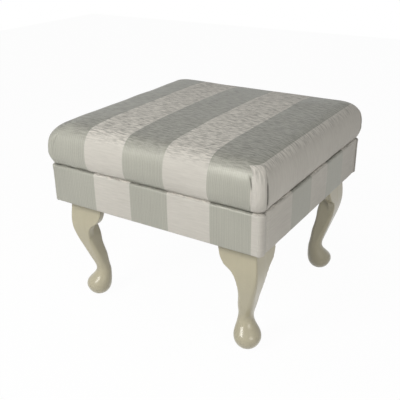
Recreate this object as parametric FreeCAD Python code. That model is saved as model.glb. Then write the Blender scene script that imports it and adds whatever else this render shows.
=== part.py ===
import FreeCAD, Part
import math
import os

# Square upholstered footstool on four cabriole legs.
# Origin on the floor under the middle of the seat. +Z is up, the front faces -Y, +X is to the right.
# Sizes are in millimetres.

# Overall sizes
BASE_LENGTH = 440.0          # along X, over the cover of the rails
BASE_WIDTH = 430.0           # along Y, over the cover of the rails
LEG_HEIGHT = 218.4
RAIL_HEIGHT = 71.0
PAD_HEIGHT = 79.0            # from the underside of the pad's cover to the top of its crown

# Cloth, wadding and the small gaps between layers
FABRIC = 1.2
DUST_CLOTH = 0.6
RAIL_WADDING = 3.0
PAD_WADDING = 6.0            # least thickness, over the top of the foam and round the board
LAYER_GAP = 0.2
SEAM_GAP = 0.4               # between the pad and the rails' cover
DUST_CLOTH_INSET = 8.0       # from the cover's outer face

# Base band over the rails
BASE_CORNER_RADIUS = 9.5
BASE_TOP_ROUND = 4.0
BASE_BOTTOM_ROUND = 2.5
COVER_RETURN = 22.0          # how far the rails' cover turns in over and under the rails
SEAM_FROM_CORNER = 10.0      # front and rear covers wrap round the corners to a seam here

# Timber frame
RAIL_THICKNESS = 20.0
BLOCK_SIDE = 62.0
BLOCK_HEIGHT = 40.0
BLOCK_CHAMFER = 32.0
BATTEN_SIDE = 20.0
BATTEN_END_GAP = 6.0         # from a corner block to the batten's end
BOARD_THICKNESS = 12.0
BOARD_EDGE_GAP = 0.6         # from the board's edge to the wadding round it

# Pad form: how the side and the crown run
PAD_TUCK = 3.0               # the pad's foot lies this far inside the rails' cover
PAD_SWELL = 6.5              # its widest line stands this far outside it
SWELL_HEIGHT = 32.0          # height of the widest line above the pad's foot
SHOULDER_DEPTH = 40.0        # the shoulder turns in by this much
CROWN = 5.0                  # rise of the top from the shoulder to the middle
CROWN_FLAT = 45.0            # half size of the flat at the middle
SIDE_DRAW = 1.5              # each side is drawn in by this much between its corners
PAD_CORNER_RADIUS = 18.0
PAD_CORNER_EASE = 16.0       # the corners are this much rounder on top than at the widest line
PAD_RETURN = 18.0            # how far the pad's cover turns in under the seat board
FOAM_CORNER_RADIUS = 34.0
FOAM_EDGE_ROUND = 27.0       # trimmed round the top of the foam block
FOAM_TOP_DROP = 7.0          # from the underside of the wadding at the crown to the foam's top

# Cabriole leg, seen from the centre of its foot. Outward is towards the corner of the stool.
LEG_INSET = 17.0             # from the rails' cover to the leg's outer faces
FOOT_TO_FACE = 30.0          # from the foot's centre to the leg's outer faces at the top
POST_SIDE = 48.0
POST_ARRIS = 3.0
FOOT_RADIUS = 24.0
FOOT_HEIGHT = 19.0           # height of the foot's widest line
SOLE_RADIUS = 13.0
ANKLE_HEIGHT = 58.0
ANKLE_RADIUS = 14.2
ANKLE_SETBACK = 8.0          # the ankle lies this far inward of the foot, along X and along Y
KNEE_DROP = 50.0             # from the top of the leg to the fullest line of the knee
KNEE_BULGE = 3.3
KNEE_ARRIS = 5.0
CALF_DROP = 31.0             # from the fullest line of the knee to the top of the calf
CALF_ARRIS = 9.0
WING_LENGTH = 77.0           # from the leg's outer corner to the wing's end
WING_THICKNESS = 13.0
WING_SETBACK = 0.8           # the wing's face lies this far behind the post's face
WING_END = 12.0              # height of the wing's upright end
WING_SHOULDER = 50.0         # drop from the top to where the wing's curve turns hollow
WING_TAPER = 11.0            # the wing is this much shorter there
WING_DROP = 79.0             # drop from the top to where the wing runs into the post

# Fasteners
SCREW_RADIUS = 2.0
SCREW_HEAD_RADIUS = 4.0
SCREW_HEAD_DEPTH = 2.6
SCREW_FIT = 0.05             # radial clearance round a screw or bolt
FRAME_SCREW_LENGTH = 45.0
JOINT_SCREW_INSET = 18.0     # from the rail's top and bottom edges
BATTEN_SCREW_LENGTH = 32.0
BATTEN_SCREW_PITCH = 90.0
BATTEN_SCREW_STAGGER = 20.0  # upright screws stand beside the level ones by this much
BOLT_RADIUS = 4.0
BOLT_IN_LEG = 38.0
BOLT_ABOVE_LEG = 45.0
BOLT_CLEARANCE = 0.5
NUT_BARREL_RADIUS = 5.2
NUT_BARREL_LENGTH = 11.0
NUT_FLANGE_RADIUS = 11.0
NUT_FLANGE_THICKNESS = 1.6

# Heights of the layers, from the floor up
BASE_BOTTOM = LEG_HEIGHT + DUST_CLOTH
RAIL_BOTTOM = BASE_BOTTOM + FABRIC + LAYER_GAP
RAIL_TOP = RAIL_BOTTOM + RAIL_HEIGHT
BASE_TOP = RAIL_TOP + LAYER_GAP + FABRIC
PAD_BOTTOM = BASE_TOP + SEAM_GAP
BOARD_BOTTOM = PAD_BOTTOM + FABRIC + LAYER_GAP
BOARD_TOP = BOARD_BOTTOM + BOARD_THICKNESS

# Plan sizes that follow from those above
HALF_LENGTH = BASE_LENGTH / 2.0
HALF_WIDTH = BASE_WIDTH / 2.0
RAIL_INSET = FABRIC + LAYER_GAP + RAIL_WADDING
FRAME_X = HALF_LENGTH - RAIL_INSET
FRAME_Y = HALF_WIDTH - RAIL_INSET
INNER_X = FRAME_X - RAIL_THICKNESS
INNER_Y = FRAME_Y - RAIL_THICKNESS
BOLT_X = HALF_LENGTH - LEG_INSET - POST_SIDE / 2.0
BOLT_Y = HALF_WIDTH - LEG_INSET - POST_SIDE / 2.0
SIDES = (("right", 1), ("left", -1))
ENDS = (("front", -1), ("rear", 1))


def vec(x, y, z):
    return FreeCAD.Vector(x, y, z)


def box(x_low, x_high, y_low, y_high, z_low, z_high):
    """Solid box between two corners."""
    return Part.makeBox(x_high - x_low, y_high - y_low, z_high - z_low, vec(x_low, y_low, z_low))


def cylinder(radius, height, base, direction=(0, 0, 1)):
    return Part.makeCylinder(radius, height, vec(*base), vec(*direction))


def prism(points, direction):
    """Solid made by extruding the polygon through the points."""
    face = Part.Face(Part.makePolygon(points + points[:1]))
    return face.extrude(direction)


def group(solids):
    return Part.makeCompound(solids)


def export(name, shape):
    shape.exportStep("parts/%s.step" % name)
    print("%-26s solids %2d  volume %9.0f mm3" % (name, len(shape.Solids), shape.Volume))


# Outlines in plan

def rounded_outline(half_x, half_y, radius, z, draw=0.0, centre=0.0):
    """Closed rectangle with round corners. Its sides are lines, or arcs drawn in by draw."""
    turns = ((1, 1), (-1, 1), (-1, -1), (1, -1))
    cut = radius * (1.0 - math.sqrt(0.5))
    edges = []
    for index, (sx, sy) in enumerate(turns):
        on_x = vec(centre + sx * half_x, centre + sy * (half_y - radius), z)
        on_y = vec(centre + sx * (half_x - radius), centre + sy * half_y, z)
        middle = vec(centre + sx * (half_x - cut), centre + sy * (half_y - cut), z)
        first, last = (on_x, on_y) if sx * sy > 0 else (on_y, on_x)
        edges.append(Part.Arc(first, middle, last).toShape())
        nx, ny = turns[(index + 1) % 4]
        if nx != sx:
            target = vec(centre + nx * (half_x - radius), centre + sy * half_y, z)
            pull = vec(0, -sy * draw, 0)
        else:
            target = vec(centre + sx * half_x, centre + ny * (half_y - radius), z)
            pull = vec(-sx * draw, 0, 0)
        if draw > 0:
            edges.append(Part.Arc(last, (last + target) * 0.5 + pull, target).toShape())
        else:
            edges.append(Part.LineSegment(last, target).toShape())
    return Part.Wire(edges)


# Pad: one form, made again for each layer at its own depth below the cover

def swell_at(up):
    """How far the pad's side stands outside the rails' cover at a height below its widest line."""
    part = up / SWELL_HEIGHT
    return -PAD_TUCK + (PAD_TUCK + PAD_SWELL) * (1.0 - (1.0 - part) ** 2)


def shoulder_profile():
    """Points from the widest line over the shoulder to the crown: distance outside, height over the foot."""
    rise = PAD_HEIGHT - SWELL_HEIGHT - CROWN
    points = []
    for degrees in (0.0, 22.0, 44.0, 64.0, 80.0):
        angle = math.radians(degrees)
        out = PAD_SWELL - SHOULDER_DEPTH * (1.0 - math.cos(angle))
        points.append((out, SWELL_HEIGHT + rise * math.sin(angle)))
    edge_out, edge_height = points[-1]
    run = HALF_WIDTH + edge_out - CROWN_FLAT
    for part in (0.18, 0.5, 1.0):
        lift = 1.0 - (1.0 - part) ** 2
        points.append((edge_out - run * part, edge_height + (PAD_HEIGHT - edge_height) * lift))
    return points


def profile_normals(points):
    """Outward normal of the profile at each of its points, level at the first and upright at the last."""
    normals = [(1.0, 0.0)]
    for before, after in zip(points, points[2:]):
        d_out = after[0] - before[0]
        d_up = after[1] - before[1]
        size = math.hypot(d_out, d_up)
        normals.append((d_up / size, -d_out / size))
    return normals + [(0.0, 1.0)]


def pad_sections(depth, bottom):
    """Outlines up the pad at a depth below its outer face, from a height over the floor to the crown."""
    low = bottom - PAD_BOTTOM
    sections = []
    for part in (0.0, 0.35, 0.7):
        up = low + (SWELL_HEIGHT - low) * part
        out = swell_at(up) - depth
        sections.append(rounded_outline(HALF_LENGTH + out, HALF_WIDTH + out, PAD_CORNER_RADIUS - depth,
                                        PAD_BOTTOM + up, SIDE_DRAW))
    points = shoulder_profile()
    for (out, up), (n_out, n_up) in zip(points, profile_normals(points)):
        inward = out - depth * n_out
        ease = PAD_CORNER_EASE * min(1.0, (PAD_SWELL - out) / SHOULDER_DEPTH)
        sections.append(rounded_outline(HALF_LENGTH + inward, HALF_WIDTH + inward,
                                        PAD_CORNER_RADIUS + ease - depth, PAD_BOTTOM + up - depth * n_up, SIDE_DRAW))
    return sections


def pad_form(depth, bottom):
    """Closed form of the pad at a depth below its outer face, crowned, with drawn-in sides."""
    return Part.makeLoft(pad_sections(depth, bottom), True, True)


def pad_skin(depth, bottom):
    """Faces of the pad's form at a depth, without its underside, and the wire of its foot."""
    sections = pad_sections(depth, bottom)
    faces = Part.makeLoft(sections, False, True).Faces
    return faces + [Part.Face(sections[-1])], sections[0]


def solid_from(faces):
    sewn = Part.makeCompound(faces)
    sewn.sewShape()
    solid = Part.Solid(sewn.Shells[0])
    solid.fix(0.001, 0.001, 0.001)
    return solid


def board_half_sizes():
    """The board just fits inside the wadding at the pad's foot."""
    edge = PAD_TUCK + FABRIC + LAYER_GAP + PAD_WADDING + BOARD_EDGE_GAP
    return HALF_LENGTH - edge, HALF_WIDTH - edge


def make_top_cover():
    """Cloth over the pad, turned in under the board to a square window."""
    outer, foot = pad_skin(0.0, PAD_BOTTOM)
    inner, lining = pad_skin(FABRIC, PAD_BOTTOM + FABRIC)
    board_x, board_y = board_half_sizes()
    window = rounded_outline(board_x - PAD_RETURN, board_y - PAD_RETURN, 2.0, PAD_BOTTOM)
    raised = rounded_outline(board_x - PAD_RETURN, board_y - PAD_RETURN, 2.0, PAD_BOTTOM + FABRIC)
    under = Part.Face([foot, window])
    upper = Part.Face([lining, raised])
    return solid_from(outer + inner + [under, upper] + window.extrude(vec(0, 0, FABRIC)).Faces)


def foam_block(gap):
    """Foam block on the board, its top edges trimmed round, grown by a gap on its sides and top."""
    half_x, half_y = board_half_sizes()
    top = PAD_BOTTOM + PAD_HEIGHT - FABRIC - LAYER_GAP - PAD_WADDING - FOAM_TOP_DROP + gap
    outline = rounded_outline(half_x + gap, half_y + gap, FOAM_CORNER_RADIUS + gap, BOARD_TOP)
    block = Part.Face(outline).extrude(vec(0, 0, top - BOARD_TOP))
    rim = [edge for edge in block.Edges if edge.BoundBox.ZMin > top - 0.001]
    return block.makeFillet(FOAM_EDGE_ROUND + gap, rim)


def board_block(gap):
    """The seat board without its holes, grown by a gap at its edge."""
    half_x, half_y = board_half_sizes()
    outline = rounded_outline(half_x + gap, half_y + gap, PAD_CORNER_RADIUS - RAIL_INSET + gap, BOARD_BOTTOM)
    return Part.Face(outline).extrude(vec(0, 0, BOARD_THICKNESS))


def make_top_wadding():
    """Wadding that fills the cover round the foam block and the board's edge."""
    form = pad_form(FABRIC + LAYER_GAP, BOARD_BOTTOM)
    return form.cut(board_block(BOARD_EDGE_GAP)).cut(foam_block(LAYER_GAP))


def make_seat_foam():
    return foam_block(0.0)


def make_seat_board():
    return board_block(0.0).cut(group(seat_screw_holes()))


# Rails' cover and wadding: one rounded band, split at a seam beside each corner

def band_form(depth):
    """Rounded box over the rails at a depth below the cover's outer face."""
    outline = rounded_outline(HALF_LENGTH - depth, HALF_WIDTH - depth, BASE_CORNER_RADIUS - depth, BASE_BOTTOM + depth)
    top = BASE_TOP - depth
    bottom = BASE_BOTTOM + depth
    solid = Part.Face(outline).extrude(vec(0, 0, top - bottom))
    for z, radius in ((top, BASE_TOP_ROUND - depth), (bottom, BASE_BOTTOM_ROUND - depth)):
        rim = [edge for edge in solid.Edges if abs(edge.BoundBox.ZMin - z) < 0.001 and edge.BoundBox.ZLength < 0.001]
        solid = solid.makeFillet(radius, rim)
    return solid


def split_at_seams(ring):
    """Front and rear pieces wrap round the corners to a seam. What turns in is mitred at each corner."""
    seam_x = HALF_LENGTH - SEAM_FROM_CORNER
    seam_y = HALF_WIDTH - SEAM_FROM_CORNER
    reach = HALF_LENGTH + HALF_WIDTH
    mitre_end = seam_x - seam_y
    low = BASE_BOTTOM - 10.0
    rise = vec(0, 0, BASE_TOP - BASE_BOTTOM + 20.0)
    pieces = {}
    for name, sy in ENDS:
        plan = ((-reach, sy * reach), (-reach, sy * seam_y), (-seam_x, sy * seam_y), (0, -sy * mitre_end),
                (seam_x, sy * seam_y), (reach, sy * seam_y), (reach, sy * reach))
        pieces[name] = ring.common(prism([vec(x, y, low) for x, y in plan], rise))
    for name, sx in SIDES:
        plan = ((sx * reach, -seam_y), (sx * seam_x, -seam_y), (sx * mitre_end, 0), (sx * seam_x, seam_y), (sx * reach, seam_y))
        pieces[name] = ring.common(prism([vec(x, y, low) for x, y in plan], rise))
    return pieces


def make_rail_covers():
    window_x = HALF_LENGTH - COVER_RETURN
    window_y = HALF_WIDTH - COVER_RETURN
    window = box(-window_x, window_x, -window_y, window_y, BASE_BOTTOM - 1.0, BASE_TOP + 1.0)
    ring = band_form(0.0).cut(band_form(FABRIC)).cut(window)
    return split_at_seams(ring)


def make_rail_waddings():
    """Strips of wadding on the rails' outer faces, short of the rounded edges above and below."""
    depth = FABRIC + LAYER_GAP
    low = RAIL_BOTTOM + BASE_BOTTOM_ROUND
    high = RAIL_TOP - BASE_TOP_ROUND
    outline = rounded_outline(HALF_LENGTH - depth, HALF_WIDTH - depth, BASE_CORNER_RADIUS - depth, low)
    ring = Part.Face(outline).extrude(vec(0, 0, high - low))
    return split_at_seams(ring.cut(box(-FRAME_X, FRAME_X, -FRAME_Y, FRAME_Y, low - 1.0, high + 1.0)))


# Timber frame

def make_rails():
    """Front and rear rails run the full length. The side rails fit between them."""
    holes = group(frame_screw_holes())
    rails = {}
    for name, sy in ENDS:
        low, high = sorted((sy * INNER_Y, sy * FRAME_Y))
        rails[name] = box(-FRAME_X, FRAME_X, low, high, RAIL_BOTTOM, RAIL_TOP).cut(holes)
    holes = group(frame_screw_holes() + batten_screw_holes())
    for name, sx in SIDES:
        low, high = sorted((sx * INNER_X, sx * FRAME_X))
        rails[name] = box(low, high, -INNER_Y, INNER_Y, RAIL_BOTTOM, RAIL_TOP).cut(holes)
    return rails


def make_corner_block(sx, sy):
    """Chamfered block in the frame's corner, bored for the leg's bolt and counterbored for its nut."""
    plan = ((0, 0), (BLOCK_SIDE, 0), (BLOCK_SIDE, BLOCK_SIDE - BLOCK_CHAMFER),
            (BLOCK_SIDE - BLOCK_CHAMFER, BLOCK_SIDE), (0, BLOCK_SIDE))
    points = [vec(sx * (INNER_X - a), sy * (INNER_Y - b), RAIL_BOTTOM) for a, b in plan]
    block = prism(points, vec(0, 0, BLOCK_HEIGHT))
    bore = cylinder(BOLT_RADIUS + BOLT_CLEARANCE, BLOCK_HEIGHT, (sx * BOLT_X, sy * BOLT_Y, RAIL_BOTTOM))
    barrel_z = RAIL_BOTTOM + BLOCK_HEIGHT - NUT_BARREL_LENGTH
    barrel = cylinder(NUT_BARREL_RADIUS + SCREW_FIT, NUT_BARREL_LENGTH, (sx * BOLT_X, sy * BOLT_Y, barrel_z))
    return block.cut(group([bore, barrel]))


def batten_half_length():
    return INNER_Y - BLOCK_SIDE - BATTEN_END_GAP


def make_batten(sx):
    low, high = sorted((sx * INNER_X, sx * (INNER_X - BATTEN_SIDE)))
    reach = batten_half_length()
    batten = box(low, high, -reach, reach, RAIL_TOP - BATTEN_SIDE, RAIL_TOP)
    return batten.cut(group(batten_screw_holes() + seat_screw_holes()))


# Screws: a place is a head's centre and the direction that the screw is driven in

def screw(place, direction, length, fit=0.0):
    """Countersunk wood screw, or with a fit the hole that it is driven into."""
    head = Part.makeCone(SCREW_HEAD_RADIUS + fit, SCREW_RADIUS + fit, SCREW_HEAD_DEPTH)
    shank = Part.makeCylinder(SCREW_RADIUS + fit, length + fit - SCREW_HEAD_DEPTH, vec(0, 0, SCREW_HEAD_DEPTH))
    solid = head.fuse(shank)
    solid.Placement = FreeCAD.Placement(vec(*place), FreeCAD.Rotation(vec(0, 0, 1), vec(*direction)))
    return solid


def frame_screw_places():
    """Two screws through each end of the front and rear rails into the ends of the side rails."""
    places = []
    for _, sx in SIDES:
        for _, sy in ENDS:
            middle_x = sx * (FRAME_X - RAIL_THICKNESS / 2.0)
            for z in (RAIL_BOTTOM + JOINT_SCREW_INSET, RAIL_TOP - JOINT_SCREW_INSET):
                places.append(((middle_x, sy * FRAME_Y, z), (0, -sy, 0)))
    return places


def frame_screw_holes():
    return [screw(place, way, FRAME_SCREW_LENGTH, SCREW_FIT) for place, way in frame_screw_places()]


def batten_screw_places():
    """Level screws that hold the battens to the side rails."""
    z = RAIL_TOP - BATTEN_SIDE / 2.0
    return [((sx * (INNER_X - BATTEN_SIDE), step * BATTEN_SCREW_PITCH, z), (sx, 0, 0))
            for _, sx in SIDES for step in (-1, 1)]


def batten_screw_holes():
    return [screw(place, way, BATTEN_SCREW_LENGTH, SCREW_FIT) for place, way in batten_screw_places()]


def seat_screw_places():
    """Upright screws through the battens into the seat board."""
    x = INNER_X - BATTEN_SIDE / 2.0
    z = RAIL_TOP - BATTEN_SIDE
    return [((sx * x, step * BATTEN_SCREW_PITCH + BATTEN_SCREW_STAGGER, z), (0, 0, 1))
            for _, sx in SIDES for step in (-1, 1)]


def seat_screw_holes():
    return [screw(place, way, BATTEN_SCREW_LENGTH, SCREW_FIT) for place, way in seat_screw_places()]


def make_screws(places, length):
    return group([screw(place, way, length) for place, way in places])


# Cabriole leg, made once with its foot's centre at the origin and its corner towards +X +Y

def face_at(z):
    """Distance of the leg's outer face from the foot's centre at a height above the calf."""
    drop = LEG_HEIGHT - KNEE_DROP - z
    span = KNEE_DROP if drop < 0 else CALF_DROP
    return FOOT_TO_FACE + KNEE_BULGE * (1.0 - (drop / span) ** 2)


def leg_stations():
    """Height, centre, half side and corner radius of each section, from the sole to the top."""
    knee_z = LEG_HEIGHT - KNEE_DROP
    calf_z = knee_z - CALF_DROP
    rise = calf_z - ANKLE_HEIGHT
    inner_face = FOOT_TO_FACE - POST_SIDE
    calf_half = (face_at(calf_z) - inner_face) / 2.0 - 0.8
    calf_centre = face_at(calf_z) - calf_half
    throat_z = (FOOT_HEIGHT + ANKLE_HEIGHT) / 2.0
    stations = []
    for z, setback, radius in (
        (0.0, 0.0, SOLE_RADIUS),
        (FOOT_HEIGHT * 0.35, 0.0, FOOT_RADIUS * 0.88),
        (FOOT_HEIGHT, 0.0, FOOT_RADIUS),
        (FOOT_HEIGHT * 1.5, 0.14, FOOT_RADIUS * 0.96),
        (throat_z, 0.55, FOOT_RADIUS * 0.8),
        ((throat_z + ANKLE_HEIGHT) / 2.0, 0.94, ANKLE_RADIUS * 1.12),
        (ANKLE_HEIGHT + rise * 0.08, 0.95, ANKLE_RADIUS),
    ):
        stations.append((z, -ANKLE_SETBACK * setback, radius, radius - 0.3))
    for part, sweep, swell, arris in ((0.36, 0.42, 0.05, 0.8), (0.7, 0.8, 0.4, 0.25)):
        half = ANKLE_RADIUS + (calf_half - ANKLE_RADIUS) * swell
        centre = -ANKLE_SETBACK + (calf_centre + ANKLE_SETBACK) * sweep
        radius = CALF_ARRIS + (ANKLE_RADIUS * 0.8 - CALF_ARRIS) * arris
        stations.append((ANKLE_HEIGHT + rise * part, centre, half, radius))
    stations.append((calf_z, calf_centre, calf_half, (CALF_ARRIS + KNEE_ARRIS) / 2.0))
    for z, arris in ((knee_z, KNEE_ARRIS), (knee_z + KNEE_DROP * 0.5, POST_ARRIS * 1.1), (LEG_HEIGHT, POST_ARRIS)):
        half = (face_at(z) - inner_face) / 2.0
        stations.append((z, face_at(z) - half, half, arris))
    return stations


def make_post():
    sections = [rounded_outline(half, half, radius, z, 0.0, centre) for z, centre, half, radius in leg_stations()]
    return Part.makeLoft(sections, True, True)


def wing_outline():
    """Face of the wing, seen square on: upright end, full curve, then a hollow curve into the post."""
    end = FOOT_TO_FACE - WING_LENGTH
    top = LEG_HEIGHT
    inside = FOOT_TO_FACE - POST_SIDE / 2.0
    corner = vec(end, 0, top - WING_END)
    turn = vec(end + WING_TAPER, 0, top - WING_SHOULDER)
    full = vec(end + WING_TAPER * 0.22, 0, top - WING_END - (WING_SHOULDER - WING_END) * 0.55)
    tip = vec(FOOT_TO_FACE - POST_SIDE + 2.0, 0, top - WING_DROP)
    hollow = vec(turn.x + (tip.x - turn.x) * 0.56, 0, turn.z + (tip.z - turn.z) * 0.44)
    edges = [
        Part.LineSegment(vec(inside, 0, top), vec(end, 0, top)).toShape(),
        Part.LineSegment(vec(end, 0, top), corner).toShape(),
        Part.Arc(corner, full, turn).toShape(),
        Part.Arc(turn, hollow, tip).toShape(),
        Part.LineSegment(tip, vec(inside, 0, top - WING_DROP)).toShape(),
        Part.LineSegment(vec(inside, 0, top - WING_DROP), vec(inside, 0, top)).toShape(),
    ]
    return Part.Wire(edges)


def wing_band():
    """The wing's thickness, seen from its end: a bulging outer face and a flat back."""
    low = LEG_HEIGHT - WING_DROP
    back = FOOT_TO_FACE - WING_THICKNESS
    knee_z = LEG_HEIGHT - KNEE_DROP
    points = [vec(0, face_at(z) - WING_SETBACK, z) for z in (LEG_HEIGHT, knee_z, low)]
    edges = [
        Part.Arc(points[0], points[1], points[2]).toShape(),
        Part.LineSegment(points[2], vec(0, back, low)).toShape(),
        Part.LineSegment(vec(0, back, low), vec(0, back, LEG_HEIGHT)).toShape(),
        Part.LineSegment(vec(0, back, LEG_HEIGHT), points[0]).toShape(),
    ]
    return Part.Wire(edges)


def make_wing():
    """Wing sawn from two sides: its outline through its band."""
    reach = FOOT_TO_FACE + WING_LENGTH
    outline = Part.Face(wing_outline()).extrude(vec(0, reach, 0))
    band = Part.Face(wing_band())
    band.translate(vec(-reach, 0, 0))
    return outline.common(band.extrude(vec(2.0 * reach, 0, 0)))


def make_leg():
    wing = make_wing()
    twin = wing.mirror(vec(0, 0, 0), vec(1, -1, 0))
    hole_x = FOOT_TO_FACE - POST_SIDE / 2.0
    hole = cylinder(BOLT_RADIUS + SCREW_FIT, BOLT_IN_LEG + 1.0, (hole_x, hole_x, LEG_HEIGHT - BOLT_IN_LEG - 1.0))
    return make_post().fuse(wing).fuse(twin).cut(hole)


def place_leg(leg, sx, sy):
    """Turn the leg so that its corner points to this corner of the stool, and stand it there."""
    quarter_turns = {(1, 1): 0, (-1, 1): 1, (-1, -1): 2, (1, -1): 3}[(sx, sy)]
    placed = leg.copy()
    placed.rotate(vec(0, 0, 0), vec(0, 0, 1), 90.0 * quarter_turns)
    placed.translate(vec(sx * (BOLT_X + POST_SIDE / 2.0 - FOOT_TO_FACE), sy * (BOLT_Y + POST_SIDE / 2.0 - FOOT_TO_FACE), 0))
    return placed


# Leg bolts and nuts

def make_leg_bolt(sx, sy):
    """Hanger bolt: a pointed wood thread down in the leg and a machine thread up through the block."""
    low = LEG_HEIGHT - BOLT_IN_LEG
    profile = [
        vec(0, 0, low),
        vec(BOLT_RADIUS, 0, low + 2.0 * BOLT_RADIUS),
        vec(BOLT_RADIUS, 0, LEG_HEIGHT + BOLT_ABOVE_LEG - 1.0),
        vec(BOLT_RADIUS - 1.0, 0, LEG_HEIGHT + BOLT_ABOVE_LEG),
        vec(0, 0, LEG_HEIGHT + BOLT_ABOVE_LEG),
    ]
    bolt = Part.Face(Part.makePolygon(profile + profile[:1])).revolve(vec(0, 0, 0), vec(0, 0, 1), 360)
    bolt.translate(vec(sx * BOLT_X, sy * BOLT_Y, 0))
    return bolt


def make_tee_nut(sx, sy):
    """Flanged nut pressed into the top of the corner block."""
    top = RAIL_BOTTOM + BLOCK_HEIGHT
    centre = (sx * BOLT_X, sy * BOLT_Y)
    flange = cylinder(NUT_FLANGE_RADIUS, NUT_FLANGE_THICKNESS, (*centre, top))
    barrel = cylinder(NUT_BARREL_RADIUS, NUT_BARREL_LENGTH, (*centre, top - NUT_BARREL_LENGTH))
    height = NUT_BARREL_LENGTH + NUT_FLANGE_THICKNESS
    bore = cylinder(BOLT_RADIUS + SCREW_FIT, height, (*centre, top - NUT_BARREL_LENGTH))
    return flange.fuse(barrel).cut(bore).removeSplitter()


def make_dust_cover():
    half_x = HALF_LENGTH - DUST_CLOTH_INSET
    half_y = HALF_WIDTH - DUST_CLOTH_INSET
    sheet = box(-half_x, half_x, -half_y, half_y, LEG_HEIGHT, BASE_BOTTOM)
    holes = [cylinder(BOLT_RADIUS + 2.0 * BOLT_CLEARANCE, DUST_CLOTH, (sx * BOLT_X, sy * BOLT_Y, LEG_HEIGHT))
             for _, sx in SIDES for _, sy in ENDS]
    return sheet.cut(group(holes))


def main():
    os.makedirs("parts", exist_ok=True)
    corners = [("%s_%s" % (end, side), sx, sy) for end, sy in ENDS for side, sx in SIDES]

    export("top_cover", make_top_cover())
    export("top_wadding", make_top_wadding())
    export("seat_foam", make_seat_foam())
    export("seat_board", make_seat_board())

    for name, shape in make_rails().items():
        export("%s_rail" % name, shape)
    for name, shape in make_rail_waddings().items():
        export("%s_rail_wadding" % name, shape)
    for name, shape in make_rail_covers().items():
        export("%s_rail_cover" % name, shape)
    for name, sx in SIDES:
        export("%s_batten" % name, make_batten(sx))
    for name, sx, sy in corners:
        export("%s_corner_block" % name, make_corner_block(sx, sy))

    export("frame_screws", make_screws(frame_screw_places(), FRAME_SCREW_LENGTH))
    export("batten_screws", make_screws(batten_screw_places() + seat_screw_places(), BATTEN_SCREW_LENGTH))
    export("dust_cover", make_dust_cover())

    leg = make_leg()
    for name, sx, sy in corners:
        export("%s_leg" % name, place_leg(leg, sx, sy))
    export("leg_bolts", group([make_leg_bolt(sx, sy) for _, sx, sy in corners]))
    export("tee_nuts", group([make_tee_nut(sx, sy) for _, sx, sy in corners]))


main()
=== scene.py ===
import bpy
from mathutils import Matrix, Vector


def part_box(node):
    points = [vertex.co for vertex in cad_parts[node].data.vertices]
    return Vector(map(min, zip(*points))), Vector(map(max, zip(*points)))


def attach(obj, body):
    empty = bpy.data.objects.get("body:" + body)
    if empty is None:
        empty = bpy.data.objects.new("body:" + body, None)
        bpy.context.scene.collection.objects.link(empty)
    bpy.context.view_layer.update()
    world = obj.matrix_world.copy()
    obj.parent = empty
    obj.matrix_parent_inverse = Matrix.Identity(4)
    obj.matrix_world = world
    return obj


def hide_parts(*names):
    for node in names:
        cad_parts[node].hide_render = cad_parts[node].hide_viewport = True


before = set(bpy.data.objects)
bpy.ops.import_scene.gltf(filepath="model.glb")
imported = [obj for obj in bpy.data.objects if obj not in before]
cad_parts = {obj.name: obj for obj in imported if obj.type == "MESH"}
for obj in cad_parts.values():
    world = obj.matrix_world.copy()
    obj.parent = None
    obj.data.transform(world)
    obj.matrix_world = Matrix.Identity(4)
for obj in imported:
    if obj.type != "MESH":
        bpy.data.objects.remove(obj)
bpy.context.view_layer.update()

import math

import bpy
import numpy as np
from bpy.props import FloatProperty, FloatVectorProperty, IntProperty, PointerProperty
from mathutils import Matrix

bl_info = {
    "name": "Striped cabriole footstool",
    "version": (1, 0, 0),
    "blender": (4, 5, 0),
    "location": "View3D > Sidebar > Footstool",
    "description": "Builds the cloth, padding, painted legs and setting of a footstool round its CAD frame",
    "category": "Add Mesh",
}

# Sizes are in metres. Origin on the floor under the middle of the seat, the front faces -Y.
MM = 0.001


def low_corner(node):
    return np.array(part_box(node)[0])


def high_corner(node):
    return np.array(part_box(node)[1])


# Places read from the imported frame
HALF_X = high_corner("front_rail_cover")[0]
HALF_Y = high_corner("rear_rail_cover")[1]
BASE_LOW = low_corner("front_rail_cover")[2]
BASE_HIGH = high_corner("front_rail_cover")[2]
PAD_LOW = low_corner("top_cover")[2]
PAD_FULLNESS = 5.0 * MM      # the stuffed pad's crown stands this much over its plain CAD solid
PAD_RISE = high_corner("top_cover")[2] - PAD_LOW + PAD_FULLNESS
BOARD_X, BOARD_Y = high_corner("seat_board")[:2]
BOARD_LOW = low_corner("seat_board")[2]
BOARD_HIGH = high_corner("seat_board")[2]
FOAM_HIGH = high_corner("seat_foam")[2]
RAIL_LOW = low_corner("front_rail")[2]
RAIL_HIGH = high_corner("front_rail")[2]
CLOTH_LOW = low_corner("dust_cover")[2]
CLOTH_HIGH = high_corner("dust_cover")[2]
BOTTOM_X, BOTTOM_Y = high_corner("dust_cover")[:2]
LEG_HIGH = high_corner("front_right_leg")[2]

# Cloth, wadding and bolts, as in the CAD part
FABRIC = 1.2 * MM
LAYER_GAP = 0.2 * MM
RAIL_WADDING = 3.0 * MM
BOLT_RADIUS = 4.0 * MM

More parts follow.
